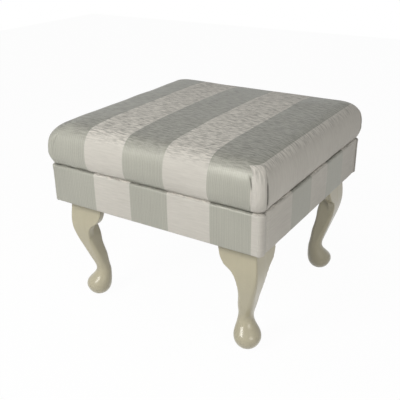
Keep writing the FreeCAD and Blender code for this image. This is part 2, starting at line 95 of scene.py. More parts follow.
# Seat pad's profile. Its foot, crown and return are the CAD part's. Its shoulder is fuller, and its corners
# are sharper.
PAD_TUCK = 3.0 * MM
PAD_SWELL = 5.0 * MM
SWELL_HEIGHT = 26.0 * MM
SHOULDER_DEPTH = 46.0 * MM
SHOULDER_POWER = 0.77        # 1 is an ellipse, and less is boxier
SHOULDER_END = math.radians(83.5)
CROWN = 5.0 * MM
CROWN_FLAT = 45.0 * MM
SIDE_DRAW = 1.5 * MM         # the sides are drawn in this much at their middle
DRAW_REACH = 120.0 * MM      # on top the draw fades out this near to the middle
CORNER_RADIUS = 14.0 * MM
CORNER_EASE = 8.0 * MM       # the corners' radius is this much larger on top
PAD_RETURN = 18.0 * MM
POLE_HOLE = 6.0 * MM         # rings end this far from the middle, and a fan closes the rest
POLE_ROUNDNESS = 0.92        # greatest radius of a ring, as a share of its half width
TURN_DEPTH = 25.0 * MM       # the cloth's lines settle to their place on a side within this depth
PLEAT_SHIFT = 7.0 * MM       # on the front and rear the pleat lies this far along from the corner's arc
PLEAT_CREEP = 5.0 * MM       # the front's stripes are drawn outwards this much beside a pleat
FOOT_GROOVE = 0.9 * MM       # the cover is drawn in this far at the pad's foot
COVER_COLUMNS = (140, 22, 0.86)      # steps to a side and to a corner, and how crowded they are at their ends
COVER_ROWS = (26, 40, 22)            # rows up the side, over the shoulder and over the crown
LINING_ROWS = (10, 14, 6)

# Slits of the pleats on the front and rear, and on the sides: the heights between which they are deepest, and
# their shares of the pleat's depth and width
PLEAT_ON_END = (38.0 * MM, 62.0 * MM, 0.55, 1.0)
PLEAT_ON_SIDE = (10.0 * MM, 52.0 * MM, 1.3, 1.7)
LEFT_SHARE = 0.35            # the left corners' slits are this much as deep

# Foam block inside the pad, as in the CAD part
FOAM_CORNER = 34.0 * MM
FOAM_ROUND = 27.0 * MM
BOARD_CORNER = 13.6 * MM
BOARD_GAP = 0.6 * MM

# Band's cover: its section round a rail, and the seams on the side faces
BAND_LOW_ROUND = 2.5 * MM
BAND_HIGH_ROUND = 4.0 * MM
BAND_RETURN = 22.0 * MM
BAND_CORNER = 9.5 * MM       # radius of the arc round a corner of the band
SEAM_PLACE = 10.0 * MM       # from the corner back to the seam
SEAM_GAP = 1.2 * MM          # a side piece starts this far behind the seam
SEAM_PLAY = 0.45 * MM        # room on each side where two pieces turn in on a mitre
ARC_STEPS = 15
WADDING_PLAY = 0.4 * MM      # a side's wadding starts this far behind the seam

# Cloth underneath
STAPLE_PITCH = 30.0 * MM
STAPLE_INSET = 4.5 * MM
BOLT_HOLE = 6.5 * MM         # radius of the hole round each leg bolt
CLOTH_SAG = 2.5 * MM
HEM_WIDTH = 11.0 * MM
HEM_THICKNESS = 0.3 * MM


# Property groups


class FootstoolCloth(bpy.types.PropertyGroup):
    sage: FloatVectorProperty(
        name="Sage stripe", description="Colour of the satin stripe", subtype="COLOR", size=3, min=0, max=1,
        default=(0.375, 0.375, 0.330))
    silver: FloatVectorProperty(
        name="Pale stripe", description="Colour of the slubbed stripe", subtype="COLOR", size=3, min=0, max=1,
        default=(0.520, 0.502, 0.462))
    stripe: FloatProperty(
        name="Stripe width", description="Width of one stripe", default=84.5 * MM, min=0.01, unit="LENGTH")
    rib: FloatProperty(
        name="Rib pitch", description="Distance between the fine ribs along the satin stripe",
        default=3.4 * MM, min=0.0005, unit="LENGTH")
    pleat_depth: FloatProperty(
        name="Pleat depth", description="How deep the pleats beside each corner of the pad are",
        default=3.6 * MM, min=0, max=0.006, unit="LENGTH")
    pleat_width: FloatProperty(
        name="Pleat width", description="Half width of the slit of a pleat", default=1.1 * MM, min=0.0003,
        unit="LENGTH")
    hem: FloatProperty(
        name="Hem thickness", description="How far the folded hem at the band's corner seams stands proud",
        default=1.4 * MM, min=0, max=0.004, unit="LENGTH")


class FootstoolLegs(bpy.types.PropertyGroup):
    paint: FloatVectorProperty(
        name="Paint", description="Colour of the painted legs", subtype="COLOR", size=3, min=0, max=1,
        default=(0.445, 0.412, 0.300))
    voxel: FloatProperty(
        name="Surface step", description="Grid step at which post and wings are joined into one skin",
        default=1.3 * MM, min=0.0005, unit="LENGTH")
    softening: IntProperty(
        name="Softening", description="Smoothing passes over the joined skin, like coats of paint",
        default=14, min=0)


class FootstoolSetting(bpy.types.PropertyGroup):
    backdrop: FloatVectorProperty(
        name="Backdrop", description="Colour of the floor and backdrop", subtype="COLOR", size=3, min=0,
        max=1, default=(0.9, 0.9, 0.9))
    floor_glow: FloatProperty(
        name="Floor whiteness", description="Share of the floor that the camera sees as plain white",
        default=0.97, min=0, max=1, subtype="FACTOR")
    fill: FloatProperty(
        name="Room light", description="Strength of the even light from all round", default=0.20, min=0)
    camera: FloatVectorProperty(
        name="Camera", description="Place of the camera", subtype="TRANSLATION", size=3,
        default=(0.59639, -0.96958, 0.70451))
    focal: FloatProperty(
        name="Focal length", description="Focal length on a 36 mm wide sensor", default=55.52, min=1,
        unit="CAMERA")


# Meshes


def grid_faces(rows, columns, closed=True):
    """Faces between neighbouring rows and columns of a grid whose points are numbered row by row."""
    count = columns if closed else columns - 1
    row, column = np.meshgrid(np.arange(rows - 1), np.arange(count), indexing="ij")
    beside = (column + 1) % columns
    here, above = row * columns, (row + 1) * columns
    return np.stack([here + column, here + beside, above + beside, above + column], -1).reshape(-1, 4)


def new_piece(name, points, faces, finish, cloth=None, smooth=True, crease_shade=None):
    """Mesh piece from points, faces, a cloth coordinate for each face corner or each point, and how deep each
    point lies in a crease, which the cloth's colour darkens as painted shade."""
    mesh = bpy.data.meshes.new(name)
    mesh.from_pydata(np.asarray(points, float).tolist(), [], [list(map(int, face)) for face in faces])
    mesh.update()
    if cloth is not None:
        corners = np.zeros(len(mesh.loops), int)
        mesh.loops.foreach_get("vertex_index", corners)
        cloth = cloth if len(cloth) == len(corners) else cloth[corners]
        mesh.uv_layers.new(name="cloth").data.foreach_set("uv", np.asarray(cloth, float).ravel())
    if crease_shade is not None:
        values = np.zeros(len(mesh.vertices), np.float32)
        values[: crease_shade.size] = crease_shade.ravel()
        mesh.attributes.new("crease_shade", "FLOAT", "POINT").data.foreach_set("value", values)
    if smooth:
        mesh.shade_smooth()
    else:
        mesh.shade_flat()
    mesh.materials.append(finish)
    piece = bpy.data.objects.new(name, mesh)
    bpy.context.scene.collection.objects.link(piece)
    return piece


def smooth_step(value, low, high):
    """0 up to low, 1 from high on, and three squares less two cubes of the share between."""
    share = np.clip((np.asarray(value, float) - low) / (high - low), 0.0, 1.0)
    return share * share * (3.0 - 2.0 * share)


def bell(value, middle, width):
    """1 at the middle, falling off as the exponential of the squared distance over width."""
    return np.exp(-((value - middle) / width) ** 2)


def turned(x, y, angle):
    """Coordinates turned about the middle by an angle."""
    return x * np.cos(angle) - y * np.sin(angle), x * np.sin(angle) + y * np.cos(angle)


def ripple(x, y, wave, seed):
    """Soft irregular waves, about 1 high: seven sines in random directions, from a little over half as long
    as wave to a little over one and a half times."""
    count, shortest, usual_height = 7, 0.6, 2.6
    random = np.random.default_rng(seed)
    total = np.zeros(np.broadcast(x, y).shape)
    for turn, length, phase in random.random((count, 3)):
        size = 2.0 * np.pi / (wave * (shortest + length))
        angle = np.pi * turn
        total = total + np.sin(size * (x * np.cos(angle) + y * np.sin(angle)) + 2.0 * np.pi * phase)
    return total / usual_height


# Rounded square rings: every layer of the seat and band is a stack of them


def crowded(count, ends):
    """Shares from 0 to 1, crowded at both ends."""
    share = np.arange(count) / count
    return share - ends * np.sin(2.0 * np.pi * share) / (2.0 * np.pi)


def ring_columns(side_steps, corner_steps, ends=0.0):
    """Columns round a rounded square, from the front right corner, counterclockwise seen from above.

    Each has a corner sign, which slides from one corner's to the next along a side, a direction out of the
    corner's arc, a bow that is 0 at the corners and 1 at the middle of a side, and its side: 0 right, 1 rear,
    2 left, 3 front, or -1 round a corner.
    """
    signs, ways, bows, sides = [], [], [], []
    corners = np.array([(1, -1), (1, 1), (-1, 1), (-1, -1)], float)
    for index in range(4):
        here, after = corners[index], corners[(index + 1) % 4]
        angle = (index - 1 + crowded(corner_steps, ends)) * np.pi / 2.0
        ways.append(np.stack([np.cos(angle), np.sin(angle)], 1))
        signs.append(np.repeat(here[None], corner_steps, 0))
        bows.append(np.zeros(corner_steps))
        sides.append(np.full(corner_steps, -1))
        share = crowded(side_steps, ends)[:, None]
        signs.append(here + (after - here) * share)
        ways.append(np.repeat([[math.cos(index * np.pi / 2), math.sin(index * np.pi / 2)]], side_steps, 0))
        bows.append(4.0 * share[:, 0] * (1.0 - share[:, 0]))
        sides.append(np.full(side_steps, index))
    return {"sign": np.concatenate(signs), "way": np.concatenate(ways), "bow": np.concatenate(bows),
            "side": np.concatenate(sides)}


def ring_points(columns, half_x, half_y, radius, z, draw=0.0):
    """Points of a stack of rings, one row to a ring: corner sign times the arc's centre, plus the radius
    along the column's direction, less the side's draw."""
    half_x, half_y, radius, z = (np.asarray(v, float)[:, None] for v in (half_x, half_y, radius, z))
    sign, way, bow = columns["sign"], columns["way"], columns["bow"]
    push = radius - draw * bow
    x = sign[:, 0] * (half_x - radius) + way[:, 0] * push
    y = sign[:, 1] * (half_y - radius) + way[:, 1] * push
    return np.stack([x, y, np.broadcast_to(z, x.shape)], -1)


def capped_faces(rows, columns, count):
    """Faces of a stack of closed rings with a fan to a pole before the first row and after the last."""
    middle = grid_faces(rows, columns)
    here = np.arange(columns)
    after = (here + 1) % columns
    last = (rows - 1) * columns
    first_fan = np.stack([np.full(columns, count), after, here], 1)
    last_fan = np.stack([np.full(columns, count + 1), last + here, last + after], 1)
    return middle, first_fan, last_fan


# Seat pad


def pad_profile(side_rows, shoulder_rows, crown_rows):
    """Profile from the pad's foot to the middle of its crown, as distance outside the band and height over
    the foot, and where the crown's edge lies.

    Below the widest line it is a parabola, then a quarter of a superellipse, a cosine and a sine raised to
    one power, to near its top, then the crown, whose rise slows as the square of the distance left to the
    flat.
    """
    share = np.linspace(0.0, 1.0, side_rows, endpoint=False)
    side = np.stack([-PAD_TUCK + (PAD_TUCK + PAD_SWELL) * (1 - (1 - share) ** 2), SWELL_HEIGHT * share], 1)
    angle = np.linspace(0.0, SHOULDER_END, shoulder_rows + 1)
    rise = PAD_RISE - SWELL_HEIGHT - CROWN
    shoulder = np.stack([PAD_SWELL - SHOULDER_DEPTH * (1 - np.cos(angle) ** SHOULDER_POWER),
                         SWELL_HEIGHT + rise * np.sin(angle) ** SHOULDER_POWER], 1)
    shoulder, edge = shoulder[:-1], shoulder[-1]
    run = HALF_Y + edge[0] - CROWN_FLAT
    crowding, flat_rows = 1.3, 8
    share = np.linspace(0.0, 1.0, crown_rows) ** crowding
    crown = np.stack([edge[0] - run * share, edge[1] + (PAD_RISE - edge[1]) * (1 - (1 - share) ** 2)], 1)
    flat = np.linspace(crown[-1, 0], POLE_HOLE - HALF_Y, flat_rows)[1:]
    middle = np.stack([flat, np.full(len(flat), PAD_RISE)], 1)
    return np.concatenate([side, shoulder, crown, middle]), edge[0]


def profile_normals(profile):
    """Unit normals of a profile, outwards and up, from the step between each point's neighbours."""
    step = np.gradient(profile, axis=0)
    normal = np.stack([step[:, 1], -step[:, 0]], 1)
    return normal / np.linalg.norm(normal, axis=1, keepdims=True)


def pad_layer(columns, depth, rows, cloth):
    """Rings of the pad's form at a depth below its outer face, from the foot up, with its profile and the
    crown's edge.

    The relief moves points along the profile's normal. The corners are rounder on top than at the widest
    line.
    """
    profile, edge = pad_profile(*rows)
    normal = profile_normals(profile)
    out = profile[:, 0] - depth * normal[:, 0]
    up = profile[:, 1] - depth * normal[:, 1]
    ease = CORNER_EASE * np.clip((PAD_SWELL - profile[:, 0]) / SHOULDER_DEPTH, 0.0, 1.0)
    ease[: rows[0]] = 0.0
    half_x, half_y = HALF_X + out, HALF_Y + out
    radius = np.minimum(CORNER_RADIUS + ease - depth, POLE_ROUNDNESS * half_y)
    draw = SIDE_DRAW * smooth_step(half_y, 0.0, DRAW_REACH)[:, None]
    place = ring_points(columns, half_x, half_y, radius, PAD_LOW + up, draw)
    relief = pad_relief(columns, profile[:, 1], place, cloth)[..., None]
    outward = columns["way"][None] * normal[:, None, :1]
    upward = np.broadcast_to(normal[:, None, 1:], relief.shape)
    return place + relief * np.concatenate([outward, upward], -1), profile, edge


def slit_distance(columns):
    """Signed distance at the pad's widest line from the nearer pleat: positive away from the corner."""
    sign, way = columns["sign"], columns["way"]
    arc = CORNER_RADIUS * np.minimum(np.arccos(np.clip(np.abs(way[:, 0]), 0, 1)),
                                     np.arccos(np.clip(np.abs(way[:, 1]), 0, 1)))
    along_x = (1 - np.abs(sign[:, 0])) * (HALF_X + PAD_SWELL - CORNER_RADIUS)
    along_y = (1 - np.abs(sign[:, 1])) * (HALF_Y + PAD_SWELL - CORNER_RADIUS)
    distance = np.where(columns["side"] < 0, -arc, along_x + along_y)
    return distance - np.where(faces_end(columns), PLEAT_SHIFT, 0.0)


def faces_end(columns):
    """True for the columns that look more to the front or rear than to a side."""
    return np.abs(columns["way"][:, 1]) > np.abs(columns["way"][:, 0])


def pleat_slit(columns, up, cloth):
    """Depth of the pleats' slits for each height and column, and a share that fades out above and below.

    Across the slit it is a bell. It is deepest between two heights, and runs on faintly above and below.
    """
    distance, on_end = slit_distance(columns)[None, :], faces_end(columns)[None, :]
    on_left = columns["sign"][None, :, 0] < 0
    low, high, depth, width = (np.where(on_end, *pair) for pair in zip(PLEAT_ON_END, PLEAT_ON_SIDE))
    fade, faint_share = 8 * MM, 0.25
    reach = smooth_step(up, low, low + fade) * (1.0 - smooth_step(up, high - fade, high))
    faint = smooth_step(up, 1 * MM, 6 * MM) * (1.0 - smooth_step(up, 52 * MM, 68 * MM))
    depth = cloth.pleat_depth * depth * np.where(on_left, LEFT_SHARE, 1.0)
    across = bell(distance, 0.0, cloth.pleat_width * width)
    return depth * across * (faint_share * faint + (1.0 - faint_share) * reach), faint


def pad_relief(columns, up, place, cloth):
    """How far the pad's cover stands out or in, for each height and column.

    Each corner has a pair of pleats: narrow slits, a low lip away from the corner and a fuller band with soft
    gathers between them. The foot is drawn in by a groove. Short pulls run up from it, where the cloth is
    stapled, and long soft waves cross the rest. Pulls, gathers and waves are ripples, and the rest are bells.
    """
    x, y, up = place[..., 0], place[..., 1], up[:, None]
    distance = slit_distance(columns)[None, :]
    on_end = faces_end(columns)[None, :]
    slit, faint = pleat_slit(columns, up, cloth)
    fold, gather, pull, wave = 0.9 * MM, 0.2 * MM, 0.35 * MM, 0.35 * MM
    lip = fold * bell(distance, 2.8 * MM, 1.8 * MM) * np.where(on_end, 0.4, 1.0) * faint
    between = smooth_step(-distance, 0.3 * MM, 4.0 * MM)
    corner_sign = -np.sign(columns["sign"][:, 0] * columns["sign"][:, 1])
    gathers = gather * ripple(x + y * corner_sign, up * 0.3, 7.0 * MM, seed=5)
    foot = 1.0 - smooth_step(up, 2 * MM, 26 * MM)
    pulls = pull * foot * ripple(x + y, up * 0.25, 30.0 * MM, seed=11)
    waves = wave * ripple(x + up, y - up, 120.0 * MM, seed=3)
    groove = FOOT_GROOVE * (1.0 - smooth_step(up, 0.0, 4.5 * MM))
    fullness = (fold + gathers) * between * faint
    return (lip - slit + fullness + pulls + waves) * smooth_step(up, 0.0, 3.0 * MM) - groove


def cloth_lines(columns, points, profile, edge, rows):
    """Cloth coordinates of the pad's outer points: once as the front and rear hang, once as the sides do.

    On top both are x and y. Over the front, v runs on down by the arc length from the shoulder. Over a side
    and round a corner, u runs on down and v round the corner.
    """
    start = rows[0] + rows[1]
    step = np.linalg.norm(np.diff(profile, axis=0), axis=1)
    length = np.concatenate([[0.0], np.cumsum(step)])
    down = np.clip(length[start] - length, 0.0, None)[:, None]
    sign, way = np.sign(columns["sign"]), columns["way"]
    x, y = points[..., 0], points[..., 1]
    base_x, base_y = np.abs(x[start])[None], np.abs(y[start])[None]
    turn = smooth_step(down, 0.0, TURN_DEPTH)
    on_top = (np.arange(len(profile)) >= start)[:, None]
    front_v = np.where(on_top, y, sign[:, 1] * (HALF_Y + edge + down))
    near_pleat = smooth_step(np.abs(x), HALF_X - 50 * MM, HALF_X - 16 * MM)
    front = np.stack([x + PLEAT_CREEP * np.sign(x) * near_pleat * turn, front_v], -1)
    side_u = base_x + down + (HALF_X + edge - base_x) * turn
    angle = np.arccos(np.clip(np.abs(way[:, 0]), 0, 1))
    round_v = HALF_Y + PAD_SWELL - CORNER_RADIUS + CORNER_RADIUS * angle
    corner = (columns["side"] < 0)[None, :]
    side_v = np.where(corner, base_y + (round_v - base_y) * turn, np.abs(y))
    side = np.stack([np.where(on_top, x, sign[:, 0] * side_u), np.where(on_top, y, sign[:, 1] * side_v)], -1)
    return front, side


def build_seat_cover(cloth):
    """Closed shell of cloth over the pad: outer face, return under the board to a square window, lining."""
    columns = ring_columns(*COVER_COLUMNS)
    count = len(columns["bow"])
    outer, profile, edge = pad_layer(columns, 0.0, COVER_ROWS, cloth)
    front, side = cloth_lines(columns, outer, profile, edge, COVER_ROWS)
    inner, *_ = pad_layer(columns, FABRIC, LINING_ROWS, cloth)
    inner = inner[np.any(inner[:, :, 2] > PAD_LOW + FABRIC, axis=1)]
    window_x, window_y = BOARD_X - PAD_RETURN, BOARD_Y - PAD_RETURN
    foot_x = HALF_X - PAD_TUCK - FOOT_GROOVE
    foot_round, window_corner, fold_corner = 0.5 * MM, 2 * MM, 12 * MM
    half_x = np.array([foot_x - 2 * foot_round, (foot_x + window_x) / 2, window_x, window_x,
                       foot_x - 2 * FABRIC])
    half_y = half_x + (HALF_Y - HALF_X)
    half_y[2:4] = window_y
    radius = np.array([CORNER_RADIUS - FABRIC, fold_corner, window_corner, window_corner,
                       CORNER_RADIUS - 2.5 * FABRIC])
    z = np.array([0.0, 0.0, 0.0, FABRIC, FABRIC]) + PAD_LOW
    turned = ring_points(columns, half_x, half_y, radius, z)
    outer[0, :, 2] += foot_round
    stack = np.concatenate([outer[::-1], turned, inner])
    total = len(stack)
    poles = np.array([[0.0, 0.0, PAD_LOW + PAD_RISE], [0.0, 0.0, PAD_LOW + PAD_RISE - FABRIC]])
    points = np.concatenate([stack.reshape(-1, 3), poles])
    middle, top_fan, inner_fan = capped_faces(total, count, total * count)
    faces = [face[::-1] for part in (middle, top_fan, inner_fan) for face in part.tolist()]
    fill = np.concatenate([turned.reshape(-1, 3), inner.reshape(-1, 3), poles])[:, :2]
    front_all = np.concatenate([front[::-1].reshape(-1, 2), fill])
    side_all = np.concatenate([side[::-1].reshape(-1, 2), fill])
    right_corner = (columns["side"] < 0) & (columns["sign"][:, 0] > 0)
    on_side = np.isin(columns["side"], (0, 2)) | right_corner
    by_column = np.concatenate([np.tile(on_side, total - 1), on_side, on_side])
    corner_index = np.concatenate([np.array(face) for face in faces])
    sizes = np.array([len(face) for face in faces])
    use_side = np.repeat(by_column, sizes)
    lines = np.where(use_side[:, None], side_all[corner_index], front_all[corner_index])
    lines[:, 0] = stripe_place(lines[:, 0], cloth, PAD_STRIPES)
    # Painted shade: how deep each point lies in a pleat's slit, which darkens the cloth's colour there
    slit, _ = pleat_slit(columns, profile[:, 1:], cloth)
    deep = PLEAT_ON_END[2] * cloth.pleat_depth
    crease_shade = np.clip(slit[::-1] / deep, 0.0, 1.0)
    return new_piece("seat_cover", points, faces, finish_cloth(cloth), lines, crease_shade=crease_shade)


# Where the stripes' edges lie across the cloth, in millimetres, and the edge each count starts from
PAD_STRIPES = (-330.0, -245.0, -131.0, -46.0, 37.8, 123.0, 206.0, 296.0, 381.0)
BAND_STRIPES = (-379.0, -300.0, -226.0, -122.0, -37.5, 44.6, 132.0, 211.0, 297.0, 382.0)
SIDE_STRIPES = (-310.0, -228.0, -112.0, -28.0, 49.0, 132.0, 228.0, 310.0)
FIRST_EDGE = {PAD_STRIPES: 3, BAND_STRIPES: 4, SIDE_STRIPES: 2}


def stripe_place(u, cloth, edges):
    """Cloth coordinate with each stripe stretched or eased to the width it has there.

    The edges become whole numbers of stripe widths, with sage between an even one and the next.
    """
    return np.interp(u, np.array(edges) * MM, np.arange(len(edges)) - FIRST_EDGE[edges]) * cloth.stripe


# Band over the rails


def band_section(depth):
    """Section round a rail at a depth below the cover's face: distance in from the face and height.

    From the inner edge of the bottom return, round the lower edge, up the face, over the rounded upper edge
    to the inner edge of the top return.
    """
    bottom, top = BASE_LOW + depth, BASE_HIGH - depth
    small, large = BAND_LOW_ROUND - depth, BAND_HIGH_ROUND - depth
    turn = np.linspace(0.0, np.pi / 2, 6)
    lower = np.stack([depth + small * (1 - np.sin(turn)), bottom + small * (1 - np.cos(turn))], 1)
    turn = np.linspace(0.0, np.pi / 2, 9)
    upper = np.stack([depth + large * (1 - np.cos(turn)), top - large * (1 - np.sin(turn))], 1)
    share = np.linspace(0.0, 1.0, 16)[1:-1]
    face = np.stack([np.full_like(share, depth), lower[-1, 1] + (upper[0, 1] - lower[-1, 1]) * share], 1)
    inner = np.linspace(BAND_RETURN, depth + small, 4)[:-1]
    bottom_return = np.stack([inner, np.full_like(inner, bottom)], 1)
    inner = np.linspace(depth + large, BAND_RETURN, 4)[1:]
    top_return = np.stack([inner, np.full_like(inner, top)], 1)
    return np.concatenate([bottom_return, lower, face, upper, top_return])


def run_columns(name, steps):
    """Columns along one piece of the band's cover, from its left seam to its right one, seen from outside.

    The front and rear pieces run round both corners to a seam on the side faces. The side pieces lie between.
    """
    quarter = {"right": 0, "rear": 1, "left": 2, "front": 3}[name]
    crowding = 0.8
    if name in ("front", "rear"):
        arc = np.linspace(-np.pi / 2, 0.0, ARC_STEPS)
        share = crowded(steps, crowding)
        angle = np.concatenate([[arc[0]], arc, np.zeros(steps - 1), -arc[::-1], [-arc[0]]])
        slide = np.concatenate([np.full(ARC_STEPS + 1, -1.0), -1.0 + 2.0 * share[1:], np.ones(ARC_STEPS + 1)])
        seam = np.concatenate([[-1.0], np.zeros(2 * ARC_STEPS + steps - 1), [1.0]])
    else:
        share = np.append(crowded(steps, crowding), 1.0)
        angle, slide, seam = np.zeros(steps + 1), -1.0 + 2.0 * share, np.zeros(steps + 1)
    return {"angle": angle, "slide": slide, "seam": seam, "quarter": quarter}


def band_points(columns, section, out, wraps, inset):
    """Points of one piece of the band's cover, a row for each point of its section.

    Along the piece x is the distance of its face from the middle and y runs along it. Round a corner the
    point turns about the corner's arc, whose radius shrinks with the depth. A side piece stops short of the
    seam, and what turns in is mitred.
    """
    half = (HALF_X, HALF_Y) if columns["quarter"] % 2 == 0 else (HALF_Y, HALF_X)
    inward, z = section[:, :1], section[:, 1:]
    radius = np.maximum(BAND_CORNER - inward, 0.4 * MM)
    behind = np.maximum(SEAM_PLACE, inward + SEAM_PLAY)
    angle, slide, end = columns["angle"][None], columns["slide"][None], columns["seam"][None]
    if wraps:
        along = slide * (half[1] - inward - radius) + np.sin(angle) * (radius + out)
        across = half[0] - inward - radius + np.cos(angle) * (radius + out)
        across = np.where(end != 0, half[0] - behind, across)
        along = np.where(end != 0, end * (half[1] - inward + out), along)
    else:
        along = slide * (half[1] - behind - inset)
        across = half[0] - inward + out + 0.0 * slide
    x, y = turned(across, along, columns["quarter"] * np.pi / 2)
    return np.stack([x, y, np.broadcast_to(z, x.shape)], -1)


def strip_faces(rows, count):
    """Faces of a strip and its ends. Its section is a closed loop of rows, up one face and down the other."""
    quads = grid_faces(rows + 1, count, closed=False) % (rows * count)
    start = np.arange(rows // 2 - 1)
    left = np.stack([start, start + 1, rows - 2 - start, rows - 1 - start], 1) * count
    return np.concatenate([quads, left, left[:, ::-1] + count - 1]).tolist()


def build_rail_cover(name, cloth):
    """Closed strip of cloth over one rail: outer face, returns and lining, closed at both ends.

    The face swells over its wadding as 1 less the eighth power of the share along it, and has a low bead near
    its upper edge. Short pulls from its staples are ripples. Where a front or rear piece wraps round the
    corner, its hem is folded double and stands proud, and beside it a side piece is tucked in.
    """
    wraps = name in ("front", "rear")
    columns = run_columns(name, steps=110)
    outer, lining = band_section(0.0), band_section(FABRIC)
    length = HALF_X if wraps else HALF_Y
    swell, bead, pull = 0.7 * MM, 0.7 * MM, 0.10 * MM
    on_face = smooth_step(outer[:, 1], BASE_LOW + 1 * MM, BASE_LOW + 20 * MM)
    on_face = on_face * (1 - smooth_step(outer[:, 1], BASE_HIGH - 20 * MM, BASE_HIGH - 3 * MM))
    flat = columns["slide"] * length
    arc = flat + BAND_CORNER * columns["angle"] + columns["seam"] * 0.5 * MM
    out = swell * on_face[:, None] * (1 - np.abs(columns["slide"]) ** 8)
    height = outer[:, 1:]
    pulls = ripple(arc[None], height * 0.35, 26 * MM, columns["quarter"] + 20)
    out = out + pull * pulls * (1 - on_face[:, None]) * (outer[:, :1] < 1 * MM)
    out = out + pull * ripple(arc[None], height, 90 * MM, columns["quarter"] + 30) * on_face[:, None]
    out = out + bead * bell(height, BASE_HIGH - 5.0 * MM, 3.5 * MM) * (outer[:, :1] < 4 * MM)
    proud = smooth_step(np.abs(arc), length + 1.0 * MM, length + 3.0 * MM) if wraps else 0.0
    tuck = 0.0 if wraps else 2.2 * MM * bell(np.abs(arc), length - SEAM_PLACE, 2.2 * MM)
    out = out + (cloth.hem * proud - tuck) * (outer[:, :1] < 5 * MM)
    face_points = band_points(columns, outer, out, wraps, SEAM_GAP)
    lining_points = band_points(columns, lining, 0.0, wraps, SEAM_GAP)
    stack = np.concatenate([face_points, lining_points[::-1]])
    faces = strip_faces(*stack.shape[:2])
    step = np.linalg.norm(np.diff(outer, axis=0), axis=1)
    up = np.concatenate([[0.0], np.cumsum(step)])
    v = np.concatenate([up, up[::-1]])[:, None] + 0.0 * arc
    u = np.broadcast_to(arc if name in ("front", "right") else -arc, v.shape)
    edges = BAND_STRIPES if wraps else SIDE_STRIPES
    lines = np.stack([stripe_place(u, cloth, edges), v], -1).reshape(-1, 2)
    to_end = (1.0 - np.abs(columns["slide"])) * length + 0.0 * v
    # Painted shade: a side piece's cloth is darkened near its ends, in the seam beside the corner's folded
    # hem
    crease_shade = np.zeros_like(v) if wraps else bell(to_end, 0.0, 2.0 * MM)
    points = stack.reshape(-1, 3)
    return new_piece(name + "_band_cover", points, faces, finish_cloth(cloth), lines, crease_shade=crease_shade)


# Padding inside, and the cloth underneath


def foam_rings(columns, gap):
    """Rings over the foam block, grown by a gap: up its side, round its top edge and in over its flat top."""
    turn = np.linspace(0.0, np.pi / 2, 10)[1:]
    rounding, top = FOAM_ROUND + gap, FOAM_HIGH + gap
    flat = np.linspace(0.0, 1.0, 14)[1:] * (BOARD_Y - rounding - POLE_HOLE)
    inset = np.concatenate([np.zeros(6), rounding * (1 - np.cos(turn)), rounding + flat])
    z = np.concatenate([np.linspace(BOARD_HIGH, top - rounding, 6), top - rounding * (1 - np.sin(turn)),
                        np.full(len(flat), top)])
    half_x, half_y = BOARD_X + gap - inset, BOARD_Y + gap - inset
    sharpest = 7.0 * MM
    radius = np.minimum(np.maximum(FOAM_CORNER + gap - inset, sharpest), POLE_ROUNDNESS * half_y)
    return ring_points(columns, half_x, half_y, radius, z)


def closed_rings(name, stack, first, last, finish):
    """Closed piece from a stack of rings and the middle points before the first ring and after the last."""
    rows, count = stack.shape[:2]
    parts = capped_faces(rows, count, rows * count)
    points = np.concatenate([stack.reshape(-1, 3), [first, last]])
    return new_piece(name, points, [face for part in parts for face in part.tolist()], finish)


def build_seat_foam():
    """Foam block on the board: rings over it from a fan across its underside. Its top is a little uneven, as
    a ripple."""
    columns = ring_columns(side_steps=50, corner_steps=12, ends=0.6)
    over = foam_rings(columns, 0.0)
    uneven = 0.3 * MM * ripple(over[..., 0], over[..., 1], 60.0 * MM, seed=41)
    over[..., 2] += uneven * smooth_step(over[..., 2], BOARD_HIGH, FOAM_HIGH)
    share = np.array([0.4, 0.8])
    base = ring_points(columns, BOARD_X * share, BOARD_Y * share, [20 * MM] * 2, [BOARD_HIGH] * 2)
    stack = np.concatenate([base, over])
    first, last = [0.0, 0.0, BOARD_HIGH], [0.0, 0.0, FOAM_HIGH]
    return closed_rings("seat_foam_block", stack, first, last, foam_finish())


def build_seat_wadding(cloth):
    """Wadding under the cover: its outer face follows the cover's lining, turns in at the board's edge, and
    its inner face runs up that edge and over the foam. Both faces are stacks of rings that end in a middle
    point."""
    columns = ring_columns(side_steps=60, corner_steps=14, ends=0.8)
    outer, *_ = pad_layer(columns, FABRIC + LAYER_GAP, (12, 24, 12), cloth)
    least_rise = 0.5 * MM
    outer = outer[outer[..., 2].min(axis=1) > BOARD_LOW + least_rise]
    foot = outer[:1].copy()
    foot[..., 2] = BOARD_LOW
    edge_x, edge_y = BOARD_X + BOARD_GAP, BOARD_Y + BOARD_GAP
    corner = BOARD_CORNER + BOARD_GAP
    board = ring_points(columns, [edge_x] * 2, [edge_y] * 2, [corner] * 2, [BOARD_LOW, BOARD_HIGH])
    inner = foam_rings(columns, LAYER_GAP)
    stack = np.concatenate([inner[::-1], board[::-1], foot, outer])
    first, last = [0.0, 0.0, FOAM_HIGH + LAYER_GAP], [0.0, 0.0, outer[-1, :, 2].mean()]
    return closed_rings("seat_wadding", stack, first, last, wadding_finish())


